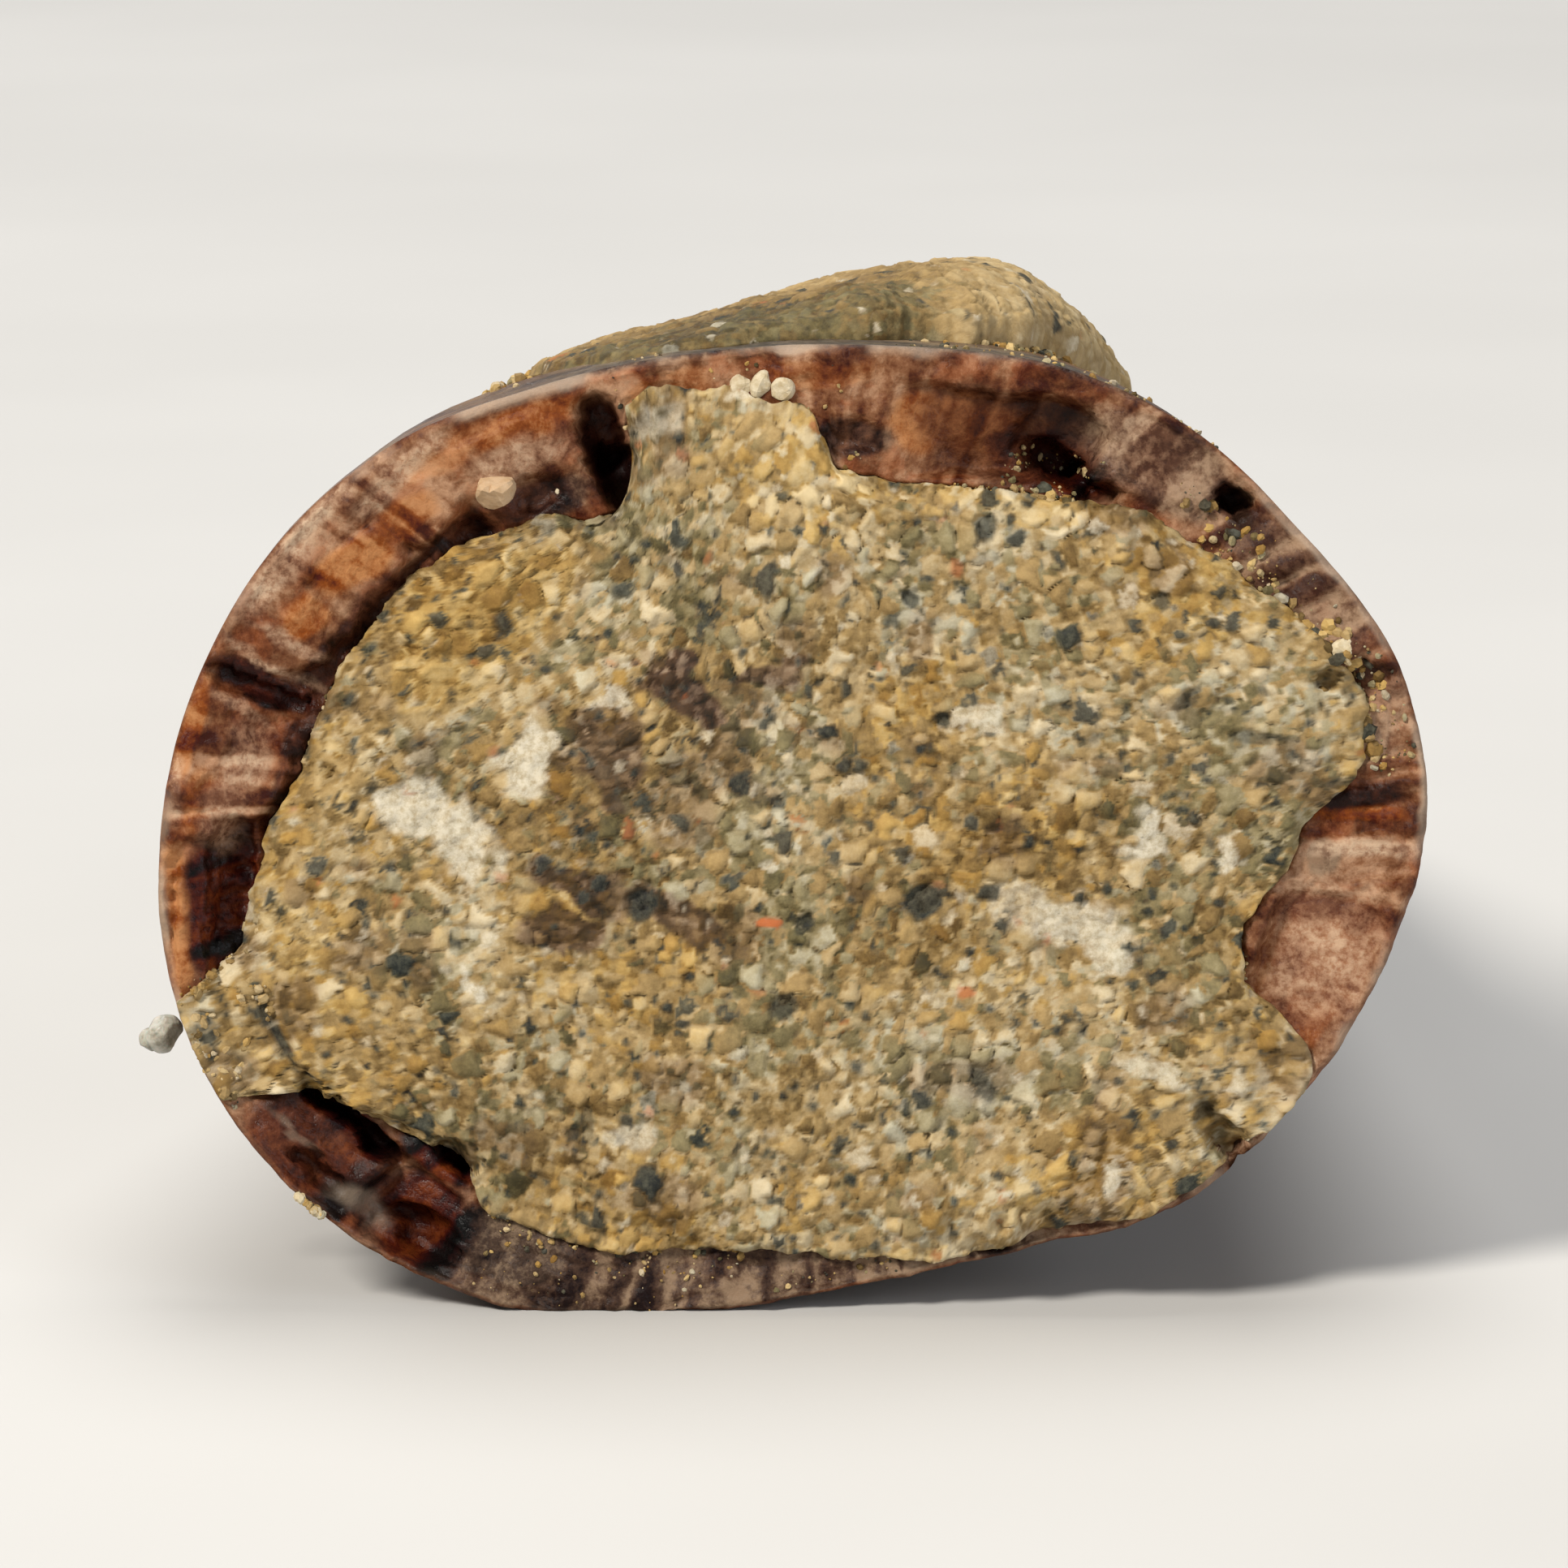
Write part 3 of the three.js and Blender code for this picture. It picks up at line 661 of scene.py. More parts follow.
WALL_TURNS = 160  # points round the enamel wall
RIM_TURNS = 640  # and round the broken rim
RIM_ROWS = 40
CROWD = 0.3  # how much the points crowd together at the keels
TIP_BENDS = (0.3, 0.6, 0.8)
CHAMFER = 0.12
RIB_HEIGHT, DENT_HEIGHT, GROWTH_HEIGHT = 0.02, 0.03, 0.016
FINE_WALL_SHARE = 0.022  # the points are fine from the rim up to this share of the height
FINE_WALL_ROWS = (0.85, 0.65, 0.45, 0.28, 0.14, 0.05, 0.0)  # shares of the way up from the rim
CAVITY_ROWS = (0.06, 0.2, 0.5, 0.78, 0.95)  # shares of the cavity's depth
ROWS_PER_DENTICLE = 7
KEEL_HALF_TURN = 0.05  # half the keels' breadth, as an angle


def tooth():
    skin = Skin("keel", "worn", "dark", "orange", "pale", "grey", "hollow", "edge", "ray")
    angles = turn_angles(WALL_TURNS, CROWD)
    bends = np.array(TIP_BENDS)[:, None] * math.pi / 2
    tip = crown_point(angles, TIP_WEAR_SHARE, np.sin(bends))
    tip[..., 1] += TIP_WEAR_LENGTH * np.cos(bends)
    last = skin.closed_rings(tip, axis_point(TIP_WEAR_SHARE, TIP_WEAR_LENGTH), worn=1.0)
    step = DENTICLE_PITCH / ROWS_PER_DENTICLE / CROWN_HEIGHT
    shares = np.arange(REAR_KEEL[1] + 3 * step, FINE_WALL_SHARE, -step)
    shares = np.concatenate([[TIP_WEAR_SHARE], shares])[:, None]
    place, look = wall_point(angles, shares)
    last = skin.rings(place, after=last, **look)

    # The last of the enamel down to the broken edge.
    angles = turn_angles(RIM_TURNS, CROWD)
    outer = base_radius(angles)
    nibble = layers_round(outer, angles, 1, 0.4, 91)
    low = rim_depth(*ring(outer, angles)) + CHAMFER + 0.09 * np.maximum(nibble, -0.6)
    y = mix(low, FINE_WALL_SHARE * CROWN_HEIGHT, np.array(FINE_WALL_ROWS)[:, None])
    place, look = wall_point(angles, y / CROWN_HEIGHT)
    place[..., 1] = y
    # The pale line along the break: the enamel's own pale edge with a painted highlight on it.
    look["edge"] = smooth(0.16, 0.02, y - low) * edge_pale_and_highlight(angles)
    last = skin.rings(place, after=last, **look)

    # The broken face of the dentine.
    row = np.linspace(0, 1, RIM_ROWS)[:, None]
    radius = mix(outer - CHAMFER * (0.5 + 0.5 * clip01(0.5 + nibble)), rim_inner(angles), row)
    x, z = ring(radius, angles)
    depth = rim_depth(x, z)
    last = skin.rings(
        points(x, depth, z), 1, after=last,
        dark=spread(x, z, DARK_DENTINE), orange=spread(x, z, ORANGE_DENTINE),
        pale=spread(x, z, PALE_DENTINE, *SOFT_SPREAD), grey=spread(x, z, GREY_DENTINE),
        # Painted shade: the deeper the broken face lies, the darker it is painted.
        hollow=clip01((depth - 0.35) / 0.8), ray=splinters(x, z),
        # The edge fact holds the pale rim line and the painted highlights where light catches a break.
        edge=np.maximum(bell(row, 0.03) * edge_pale_and_highlight(angles), spread(x, z, SHINE, *SOFT_SPREAD)))

    # Under the stone and up the pulp cavity.
    angles = turn_angles(WALL_TURNS, CROWD)
    place = np.stack([cavity_point(angles, d) for d in CAVITY_ROWS])
    last = skin.rings(place, 1, after=last, dark=1.0)
    skin.cap(last, axis_point(CAVITY_SHARE), 1, last=True, dark=1.0)
    return skin


# ---- Sandstone ----

GRAIN_SPACING = 0.29
FINE_SPACING = 0.13
STONE_FACTS = ("tone", "hue", "speck", "calcite", "stain", "ember", "joint_shade")

# Looks of the stone on the base: centre x, z, half sizes along and across, turn in degrees, strength.
CALCITE = (
    (-3.84, 1.1, 0.5, 0.36, 60, 1.0), (-5.3, 0.15, 0.75, 0.42, -8, 1.0),
    (-4.75, -0.3, 0.5, 0.4, 20, 0.95), (5.06, -0.25, 0.5, 0.3, 70, 1.0),
    (4.1, -1.45, 0.85, 0.3, -12, 0.9), (2.56, 1.57, 0.45, 0.16, -10, 0.8),
    (4.65, -1.8, 0.35, 0.25, 0, 0.8), (6.28, -0.47, 0.2, 0.2, 0, 0.95), (4.53, -4.88, 0.2, 0.24, 0, 0.9),
    (-4.6, -2.38, 0.15, 0.15, 0, 1.0), (-2.33, -4.5, 0.35, 0.2, 10, 0.7),
    (5.1, -3.5, 0.45, 0.14, 0, 0.65), (-0.5, 6.28, 0.45, 0.13, 5, 0.8), (-2.0, 5.75, 0.35, 0.25, 0, 0.5),
    (-2.6, 1.74, 0.35, 0.14, 0, 0.75), (-0.23, -0.47, 0.12, 0.12, 0, 0.8), (3.2, -1.1, 0.45, 0.3, 0, 0.5),
)
STAINS = (
    (-1.6, 2.05, 0.75, 0.36, -22, 1.0), (-0.35, 2.15, 0.5, 0.3, 10, 0.9),
    (-2.6, 0.9, 0.4, 0.65, 10, 0.85), (-3.2, 0.95, 0.35, 0.25, 0, 0.6), (-3.2, -0.7, 0.8, 0.3, -16, 0.9),
    (-3.2, -1.5, 0.6, 0.35, 0, 0.85), (-1.6, -1.4, 0.6, 0.35, -30, 0.85),
    (3.0, -0.15, 0.32, 0.34, 0, 0.65), (-2.8, 1.5, 0.5, 0.25, 30, 0.7), (-1.1, 1.1, 0.35, 0.25, 0, 0.6),
    (-2.4, -1.1, 0.5, 0.35, 0, 0.75),
)
BLACK_GRAINS = (
    (1.86, -1.05, 0.3, 0.24, 40, 1.0), (-2.2, -1.1, 0.2, 0.26, 0, 1.0), (2.73, 4.3, 0.17, 0.2, 0, 0.9),
    (0.12, -1.34, 0.18, 0.12, 30, 0.8), (-0.17, -2.56, 0.2, 0.2, 0, 0.85),
    (2.7, -3.7, 0.14, 0.32, 20, 0.8), (5.6, 1.86, 0.26, 0.12, 35, 0.7), (6.6, 1.3, 0.45, 0.08, -5, 0.7),
    (2.1, 1.55, 0.14, 0.12, 0, 1.0), (1.65, 3.3, 0.13, 0.13, 0, 0.9), (5.2, 3.3, 0.13, 0.14, 0, 0.9),
    (-0.25, 0.35, 0.12, 0.11, 0, 0.9), (5.9, -4.05, 0.2, 0.2, 0, 0.7), (-3.0, -4.3, 0.1, 0.35, 0, 0.6),
    (-7.45, -3.0, 0.65, 0.09, -62, 0.95),
)
YELLOW_SAND = (
    (-4.4, 2.9, 1.9, 0.9, 38, 0.8), (-6.3, 1.2, 0.5, 1.4, -15, 0.65), (-7.1, -1.6, 0.5, 1.3, 10, 0.7),
    (0.7, 2.7, 0.5, 1.1, 0, 0.6), (3.4, 4.6, 1.6, 0.25, -6, 0.8), (6.6, -1.6, 0.25, 1.0, -20, 0.75),
    (0.2, -4.0, 1.2, 0.7, 0, 0.35), (-5.4, -3.3, 1.2, 0.3, -38, 0.6), (-8.0, -2.9, 0.5, 0.4, 0, 0.6),
)
EMBER_GRAINS = (
    (-0.4, -1.34, 0.16, 0.08, 0, 1.0), (2.44, -2.33, 0.14, 0.1, 20, 0.7), (2.3, 3.75, 0.08, 0.16, 0, 0.5),
)


# Relief of the stone, in mm, and the shares of its grains that are black, white or red.
COARSE_HEIGHT = 0.15
FINE_BASE = 0.035
FINE_HEIGHT = 0.065
BLACK_SHARE = 0.085
WHITE_SHARE = 0.02
RED_SHARE = 0.004


class Stone:
    """Coarse grains with finer ones between them: how far they stand out and what they look like."""

    def __init__(self, place, seed, on_base, contrast=1.0, level=0.0, gold=0.0):
        flat = place.reshape(-1, 3)
        coarse = Grains(flat, GRAIN_SPACING, seed)
        fine = Grains(flat, FINE_SPACING, seed + 1)
        tops = (COARSE_HEIGHT * coarse.height(), FINE_BASE + FINE_HEIGHT * fine.height(0.1))
        first = smooth(-0.02, 0.02, tops[0] - tops[1])
        x, y, z = flat.T

        def both(number, view=lambda value: value):
            return mix(fine.blend(number, view), coarse.blend(number, view), first)

        tone = 0.52 + 0.85 * (both(5) - 0.5) + 0.22 * layers(x, y, z, 1.5, 111, 2)
        hue = 0.5 + gold + contrast * (0.8 * (both(8) - 0.5) + 0.3 * layers(x, y, z, 1.7, 113, 2))
        near = mix(fine.near, coarse.near, first)
        self.look = {
            "tone": clip01(0.5 + level + contrast * (tone - 0.5)),
            "hue": clip01(hue),
            "speck": both(6, lambda value: value < BLACK_SHARE * contrast) * smooth(0.9, 0.5, near),
            "ember": 0.45 * both(7, lambda value: value < RED_SHARE),
            "calcite": 0.6 * both(9, lambda value: value < WHITE_SHARE),
            "stain": 0.5 * contrast * smooth(0.35, 0.8, layers(x, y, z, 0.9, 115, 2)),
            # Painted shade: darker the lower the stone lies between its grains and where grains are plucked
            # out.
            "joint_shade": 1 - clip01(np.maximum(*tops) / 0.14),
        }
        if on_base:
            for name, spots in (("hue", YELLOW_SAND), ("calcite", CALCITE), ("stain", STAINS)):
                self.look[name] = np.maximum(self.look[name], spread(x, z, spots, 0.25, 0.5))
            for name, spots in (("speck", BLACK_GRAINS), ("ember", EMBER_GRAINS)):
                self.look[name] = np.maximum(self.look[name], spread(x, z, spots, 0.06, 0.25))
        self.look["speck"] = self.look["speck"] * (1 - 0.8 * smooth(0.4, 0.8, self.look["calcite"]))
        powder = 0.07 + 0.02 * layers(x, y, z, 0.16, 127, 2)
        relief = mix(np.maximum(*tops), powder, 0.6 * self.look["calcite"])
        relief = relief + 0.03 * (coarse.fact(25) - 0.5) + 0.014 * layers(x, y, z, 0.09, 121, 2)
        relief = relief + 0.08 * layers(x, y, z, 1.1, 123) + 0.03 * layers(x, y, z, 0.5, 125, 2)
        self.relief = relief.reshape(place.shape[:-1])


def disc_grid(count):
    """A square grid drawn out to a disc: its points' shares of the reach, their angles, the faces, and
    the points round the edge in order."""
    u, v = np.meshgrid(np.linspace(-1, 1, count + 1), np.linspace(-1, 1, count + 1), indexing="ij")
    wide = np.abs(u) >= np.abs(v)
    far = np.maximum(np.maximum(np.abs(u), np.abs(v)), 1e-9)
    quarter = math.pi / 4
    angle = np.where(wide, quarter * v / far * np.sign(u), math.pi / 2 - quarter * u / far * np.sign(v))
    angle = angle + np.where(wide, u < 0, v < 0) * math.pi
    number = np.arange((count + 1) ** 2).reshape(count + 1, count + 1)
    a, b, c, d = number[:-1, :-1], number[1:, :-1], number[1:, 1:], number[:-1, 1:]
    faces = np.stack([a.ravel(), b.ravel(), c.ravel(), d.ravel()], axis=1)
    edge = np.concatenate([number[-1, :-1], number[:0:-1, -1], number[0, :0:-1], number[:-1, 0]])
    return far, angle, faces, edge


def outward(place):
    """Unit normals of a grid of points."""
    one, two = np.gradient(place, axis=0), np.gradient(place, axis=1)
    normal = np.cross(one, two)
    return normal / np.maximum(np.linalg.norm(normal, axis=-1, keepdims=True), 1e-12)


PLUG_GRID = 292
PLUG_RELAX = 1500
PLUG_SEED = 200
PLUG_DEPTH = 0.94  # of the cavity's
PLUG_ROWS = (0.78, 0.5, 0.2, 0.09)  # shares of the cavity's depth
PLUG_RATIO = 4  # points round its face for each one round the part in the cavity
INNER_TONE = 0.4  # of the stone's hidden sides
# Loops from the plug's seat in the rim up to its face: level in mm, and 1 at the stone's edge or 0 at
# the cavity's wall.
PLUG_LOOPS = ((STONE_SEAT_DEPTH + 0.5, 0), (STONE_SEAT_DEPTH, 0), (0.42, 1), (0.3, 1), (0.18, 1), (0.08, 1))


def plug_plan(share, angle, edge):
    """Places of the grid's points over the base: evenly along the stone's edge, and relaxed inside."""
    turn = np.linspace(0, TURN, 7201)
    reach = stone_edge(turn)
    steps = np.hypot(*(np.diff(way) for way in ring(reach, turn)))
    along = np.concatenate([[0], np.cumsum(steps)])
    first = np.interp(angle.ravel()[edge[0]] % TURN, turn, along)
    at = (first + along[-1] * np.arange(len(edge)) / len(edge)) % along[-1]
    turned = np.interp(at, along, turn)
    step = (angle - angle.ravel()[edge[0]]) % TURN * len(edge) / TURN
    plan = []
    for rim in ring(stone_edge(turned), turned):
        values = share * np.interp(step, np.arange(len(edge) + 1), np.append(rim, rim[0]))
        values.ravel()[edge] = rim
        for _ in range(PLUG_RELAX):
            beside = values[2:, 1:-1] + values[:-2, 1:-1] + values[1:-1, 2:] + values[1:-1, :-2]
            values[1:-1, 1:-1] = beside / 4
        plan.append(values)
    return plan


def plug():
    """Sandstone that fills the pulp cavity and shows on the broken base."""
    skin = Skin(*STONE_FACTS)
    share, angle, faces, edge = disc_grid(PLUG_GRID)
    x, z = plug_plan(share, angle, edge)
    angle, radius = polar(x, z)
    # Towards its edge the stone comes down to the rim.
    down = 0.95 * smooth(0.9, 1.0, share + 0.03 * layers(x, 0, z, 0.5, 141, 2))
    depth = mix(stone_face_depth(x, z), np.clip(rim_depth(x, z) - 0.09, -0.2, 0.55), down)
    depth = depth + 0.3 * pit_depth(x, z)
    place = points(x, depth, z)
    stone = Stone(place, PLUG_SEED, True)
    black = spread(x, z, BLACK_GRAINS, 0.05, 0.5)
    place[..., 1] -= stone.relief * mix(0.6, 1, smooth(1, 0.98, share)) - 0.12 * black
    start = skin.add_points(place, **stone.look)
    skin.add_faces(faces + start)
    rim = edge + start

    # Its sides, down to its seat in the rim and up the cavity.
    around_edge = angle.ravel()[edge]
    top = place.reshape(-1, 3)[edge][:, 1]
    outer = radius.ravel()[edge]
    inner = np.minimum(cavity_radius(around_edge), outer) - SEAT_GAP
    sides = []
    for level, out in PLUG_LOOPS:
        side_x, side_z = ring(mix(inner, outer, out), around_edge)
        sides.append(points(side_x, np.maximum(level, top + 0.02 + 0.15 * level), side_z))
    sides = np.stack(sides)
    stone = Stone(sides, PLUG_SEED, True)
    bulge_x, bulge_z = ring(0.5 * stone.relief - 0.03, around_edge)
    sides[..., 0] += bulge_x
    sides[..., 2] += bulge_z
    few = around_edge[::PLUG_RATIO]
    deep = [cavity_point(few, d, SEAT_GAP) for d in PLUG_ROWS]
    last = skin.closed_rings(deep, axis_point(PLUG_DEPTH * CAVITY_SHARE), tone=INNER_TONE)
    last = skin.rings(sides, after=last, **stone.look)
    skin.bridge(last, rim)
    return skin


LUMP_GRID = 300
LUMP_CROWD = 1.7  # how much more of the grid's points lie near the edge
LUMP_SEED = 300
LUMP_CONTRAST = 0.35
LUMP_ROWS = (0.4, 0.75, 1.0)  # under the lump, as shares of its reach
LUMP_RATIO = 8
LUMP_SETTLE = 0.05  # how far the lump's foot is let into the enamel


def lump_foot(turn, share):
    """Place of the lump over the crown: x, y and the crown's angle there."""
    ragged = LUMP_RAGGED * (0.6 * np.sin(3 * turn + 1) + 0.4 * np.sin(5 * turn))
    ragged = ragged + 0.035 * layers_round(4, turn, 0, 0.6, 131)
    reach = share * (1 + ragged)
    width = 1 - LUMP_BROAD * np.sin(turn) * share
    x = mix(*LUMP_X, 0.5 + 0.5 * reach * width * np.cos(turn))
    y = mix(*LUMP_Y, 0.5 + 0.5 * reach * np.sin(turn))
    return x, y, np.arccos(np.clip(x / (BASE_HALF_X - 0.12 * y), -1, 1))


def under_lump(turn, share):
    """Points of the lump's foot, let a little into the enamel."""
    _, y, angle = lump_foot(turn, share)
    return crown_point(angle, y / CROWN_HEIGHT, 1.0, -LUMP_SETTLE)


def lump_height(x, y, share):
    """How high the lump stands over its foot."""
    height = mix(*LUMP_HEIGHT, smooth(*LUMP_RISE, x))
    return height * (1 + 0.18 * unevenness(0.8 * x, 0.6 * y)) * np.sqrt(clip01(1 - share ** 4))


def lump():
    """Sandstone lump stuck to the outer side of the crown."""
    skin = Skin(*STONE_FACTS)
    share, turn, faces, edge = disc_grid(LUMP_GRID)
    # The edge gets more of the points, where the lump falls off steeply.
    share = 1 - (1 - share) ** LUMP_CROWD
    x, y, angle = lump_foot(turn, share)
    height = lump_height(x, y, share)
    place = crown_point(angle, y / CROWN_HEIGHT, 1.0, LUMP_CLEARANCE * smooth(1, 0.97, share) + height)
    normal = outward(place)
    # Painted light: the rear flank is painted lighter than the rest of the side that faces the broken base,
    # as the light falls on it there. Further from the base the colour changes towards a steadier tan.
    lit_flank, away = smooth(1.6, 3.8, x), smooth(2.5, 6.0, y)
    level, gold = mix(0.6 * lit_flank - 0.36, 0.2 * lit_flank - 0.08, away), mix(0.35 * lit_flank - 0.25, 0.04, away)
    stone = Stone(place, LUMP_SEED, False, LUMP_CONTRAST, np.ravel(level), np.ravel(gold))
    relief = (0.5 * stone.relief - 0.04) * smooth(1, 0.95, share)
    place = place + normal * relief[..., None]
    start = skin.add_points(place, **stone.look)
    skin.add_faces(faces + start)
    few = turn.ravel()[edge][::LUMP_RATIO]
    foot = [under_lump(few, share) for share in LUMP_ROWS]
    last = skin.closed_rings(foot, under_lump(np.zeros(1), np.zeros(1)), tone=INNER_TONE)
    skin.bridge(last, edge + start)
    return skin


def chance(number, fact, low=0.0, high=1.0):
    """Random values that belong to whole numbers, the same in each run."""
    return low + (high - low) * hashed(number, fact, 0, 7)


PEBBLE_CUTS = 7


def pebbles(skin, centres, sizes, number, rows, turns, rough=0.05, cut=0.62, **facts):
    """Angular grains: balls with flat cuts, turned at random."""
    unit, quads, triangles = ball(rows, turns)
    count, size = len(centres), len(unit)
    reach = np.ones((count, size))
    for side in range(PEBBLE_CUTS):
        way = np.stack([chance(number, 60 + 3 * side + axis, -1, 1) for axis in range(3)], axis=1)
        way = way / np.linalg.norm(way, axis=1, keepdims=True)
        facing = np.maximum(way @ unit.T, 1e-3)
        reach = np.minimum(reach, chance(number, 90 + side, cut, 0.95)[:, None] / facing)
    shift = np.asarray(number)[:, None] * 5.3
    reach = reach * (1 + rough * layers(unit[:, 0] + shift, unit[:, 1], unit[:, 2], 0.6, 151, 2))
    place = unit * reach[..., None] * np.asarray(sizes)[:, None, :]
    quaternion = np.stack([chance(number, 50 + n, -1, 1) for n in range(4)], axis=-1)[:, None, :]
    quaternion = quaternion / np.linalg.norm(quaternion, axis=-1, keepdims=True)
    across = np.cross(quaternion[..., 1:], place)
    place = place + 2 * (quaternion[..., :1] * across + np.cross(quaternion[..., 1:], across))
    place = place + np.asarray(centres)[:, None, :]
    facts = {name: np.repeat(np.broadcast_to(value, (count,)), size) for name, value in facts.items()}
    start = skin.add_points(place, **facts) + size * np.arange(count)[:, None, None]
    skin.add_faces((quads + start).reshape(-1, 4))
    skin.add_faces((triangles + start).reshape(-1, 3))


# ---- Loose sand ----

# Patches of sand: their grains' numbers, from which all chances come, the number of the chance that
# sets the radius, the least and the greatest radius in mm, and how rare the great ones are.
RIM_SAND = ((100, 5600), 24, 0.02, 0.09, 3.5)
BLOB_SAND = ((6000, 6700), 62, 0.03, 0.12, 2)
WALL_SAND = ((7000, 7300), 32, 0.02, 0.08, 2.5)
LUMP_SAND = ((8000, 9400), 42, 0.03, 0.12, 2)
CRUST_SAND = ((9500, 9700), 52, 0.02, 0.09, 2)
# Where the rim has hardly any loose sand, and where it has most: from and to an angle.
BARE_RIM = ((-1, 5), (60, 80), (113, 194), (207, 234), (336, 361))
SANDY_RIM = ((84, 112), (234, 336))
FUZZY_MORE = 0.09  # how much greater the grains get at the rear of the rim
# Single grains on the rim: x, z, radius, tone, how white and how red they are.
RIM_GRAINS = np.array([
    (-4.3, 4.83, 0.4, 0.95, 0.0, 0.3), (-0.74, 6.3, 0.23, 0.8, 0.6, 0), (-0.46, 6.35, 0.24, 0.9, 0.5, 0),
    (-0.2, 6.28, 0.22, 0.8, 0.6, 0), (7.8, 2.55, 0.23, 0.9, 0.3, 0), (7.55, 1.95, 0.1, 0.2, 0.0, 0),
    (-3.4, 4.78, 0.07, 0.9, 0.7, 0), (-1.08, 6.2, 0.16, 0.8, 0.4, 0), (-1.5, 6.15, 0.12, 0.6, 0.2, 0),
])


def grain_look(number):
    """Facts of single grains, by their numbers."""
    return {
        "tone": chance(number, 10, 0.0, 0.8),
        "hue": chance(number, 12),
        "speck": (chance(number, 11) < 0.14) * 1.0,
        "calcite": 0.6 * (chance(number, 13) < 0.06),
        # Loose grains get a random share of the same painted shade.
        "joint_shade": 0.25 * chance(number, 14),
    }


def grain_radius(number, patch, more=0.0):
    """Radii of a patch's grains."""
    _, fact, least, most, rare = patch
    return mix(least, most + more, chance(number, fact) ** rare)


def sand(skin, number, centres, radius, rows=4, turns=7, **facts):
    """Grains of those radii. Their looks come from their numbers, unless facts are given."""
    sizes = np.stack([radius * chance(number, n, 0.6, 1.2) for n in (1, 2, 3)], axis=1)
    pebbles(skin, centres, sizes, number, rows, turns, **(facts or grain_look(number)))


def sand_on_rim(skin, number, x, z, radius, lift=0.0, **facts):
    centres = np.stack([x, rim_depth(x, z) + 0.2 * radius - lift, z], axis=1)
    sand(skin, number, centres, radius, **facts)


def sand_on_wall(skin, number, angle, y, radius, **facts):
    centres, _ = wall_point(angle, y / CROWN_HEIGHT)
    centres[:, 2] = np.maximum(centres[:, 2], rest_plane(centres[:, 1]) + 1.1 * radius)
    sand(skin, number, centres, radius, **facts)


def within(degrees, *ranges):
    """Which angles lie in any of the ranges."""
    return np.any([(degrees > low) & (degrees < high) for low, high in ranges], axis=0)


def loose_sand():
    """Grains stuck to the rim round the stone, to the enamel near the base and round the lump."""
    skin = Skin(*STONE_FACTS)
    x, z, radius, tone, white, red = RIM_GRAINS.T
    number = 23 + np.arange(len(x))
    sand_on_rim(skin, number, x, z, radius, rows=12, turns=16, tone=tone, calcite=white, ember=red, hue=0.5)

    # All along the stone's edge.
    number = np.arange(*RIM_SAND[0])
    angle, off = chance(number, 20, 0, TURN), chance(number, 21) ** 2.0
    degrees = np.degrees(angle)
    bare, sandy = within(degrees, *BARE_RIM), within(degrees, *SANDY_RIM)
    reach = np.where(bare, 0.1, np.where(sandy, 1.3, 0.8))
    clumps = layers_round(8, angle, off * reach, 0.7, 161, 2)
    radius = stone_edge(angle) - 0.05 + off * reach
    kept = (radius < base_radius(angle) - 0.1) & (clumps > np.where(bare, 0.3, 0.0))
    kept = kept & (chance(number, 23) > np.where(bare, 0.6, np.where(sandy, 0.5, 0.2)))
    number, angle, degrees, radius, off = (v[kept] for v in (number, angle, degrees, radius, off))
    fuzzy = smooth(4, 10, degrees) * smooth(60, 48, degrees)
    size = grain_radius(number, RIM_SAND, FUZZY_MORE * fuzzy) * (1 - 0.4 * off)
    sand_on_rim(skin, number, *ring(radius, angle), size)

    # A blob of sand over the rim at the front.
    number = np.arange(*BLOB_SAND[0])
    angle = np.radians(chance(number, 60, 190, 210))
    radius = base_radius(angle) - 0.06 - 1.8 * chance(number, 61)
    inside = radius < stone_edge(angle) - 0.02
    number, angle, radius = number[inside], angle[inside], radius[inside]
    look = grain_look(number)
    look.update(hue=0.3 + 0.5 * look["hue"], tone=0.2 + 0.8 * look["tone"], speck=0.4 * look["speck"])
    sand_on_rim(skin, number, *ring(radius, angle), grain_radius(number, BLOB_SAND), 0.1, **look)

    # Scattered over the enamel near the base.
    number = np.arange(*WALL_SAND[0])
    angle, y = np.radians(chance(number, 30, 30, 110)), 0.6 + 7 * chance(number, 31) ** 2
    ring_x, ring_z = ring(7, angle)
    patchy = noise(ring_x, y, ring_z, 1.4, 163) > 0.0
    number, angle, y = number[patchy], angle[patchy], y[patchy]
    sand_on_wall(skin, number, angle, y, grain_radius(number, WALL_SAND))

    # Round the lump's foot.
    number = np.arange(*LUMP_SAND[0])
    turn, off = chance(number, 40, 0, TURN), 0.98 + 0.16 * chance(number, 41) ** 2.5
    _, y, angle = lump_foot(turn, off)
    kept = (y > 2.2) & (layers_round(3, turn, off * 3, 0.5, 165, 2) > 0.1)
    number, y, angle = number[kept], y[kept], angle[kept]
    sand_on_wall(skin, number, angle, y, grain_radius(number, LUMP_SAND))

    # A crust on the outer edge below the front crack, narrower away from the base.
    number = np.arange(*CRUST_SAND[0])
    y = 0.03 + 0.55 * chance(number, 51) ** 2
    angle = np.radians(218.2 + mix(3.4, 0.8, y / 0.58) * chance(number, 50, -0.5, 0.5))
    look = grain_look(number)
    look["tone"] = look["tone"] + 0.3
    sand_on_wall(skin, number, angle, y, grain_radius(number, CRUST_SAND), **look)
    return skin


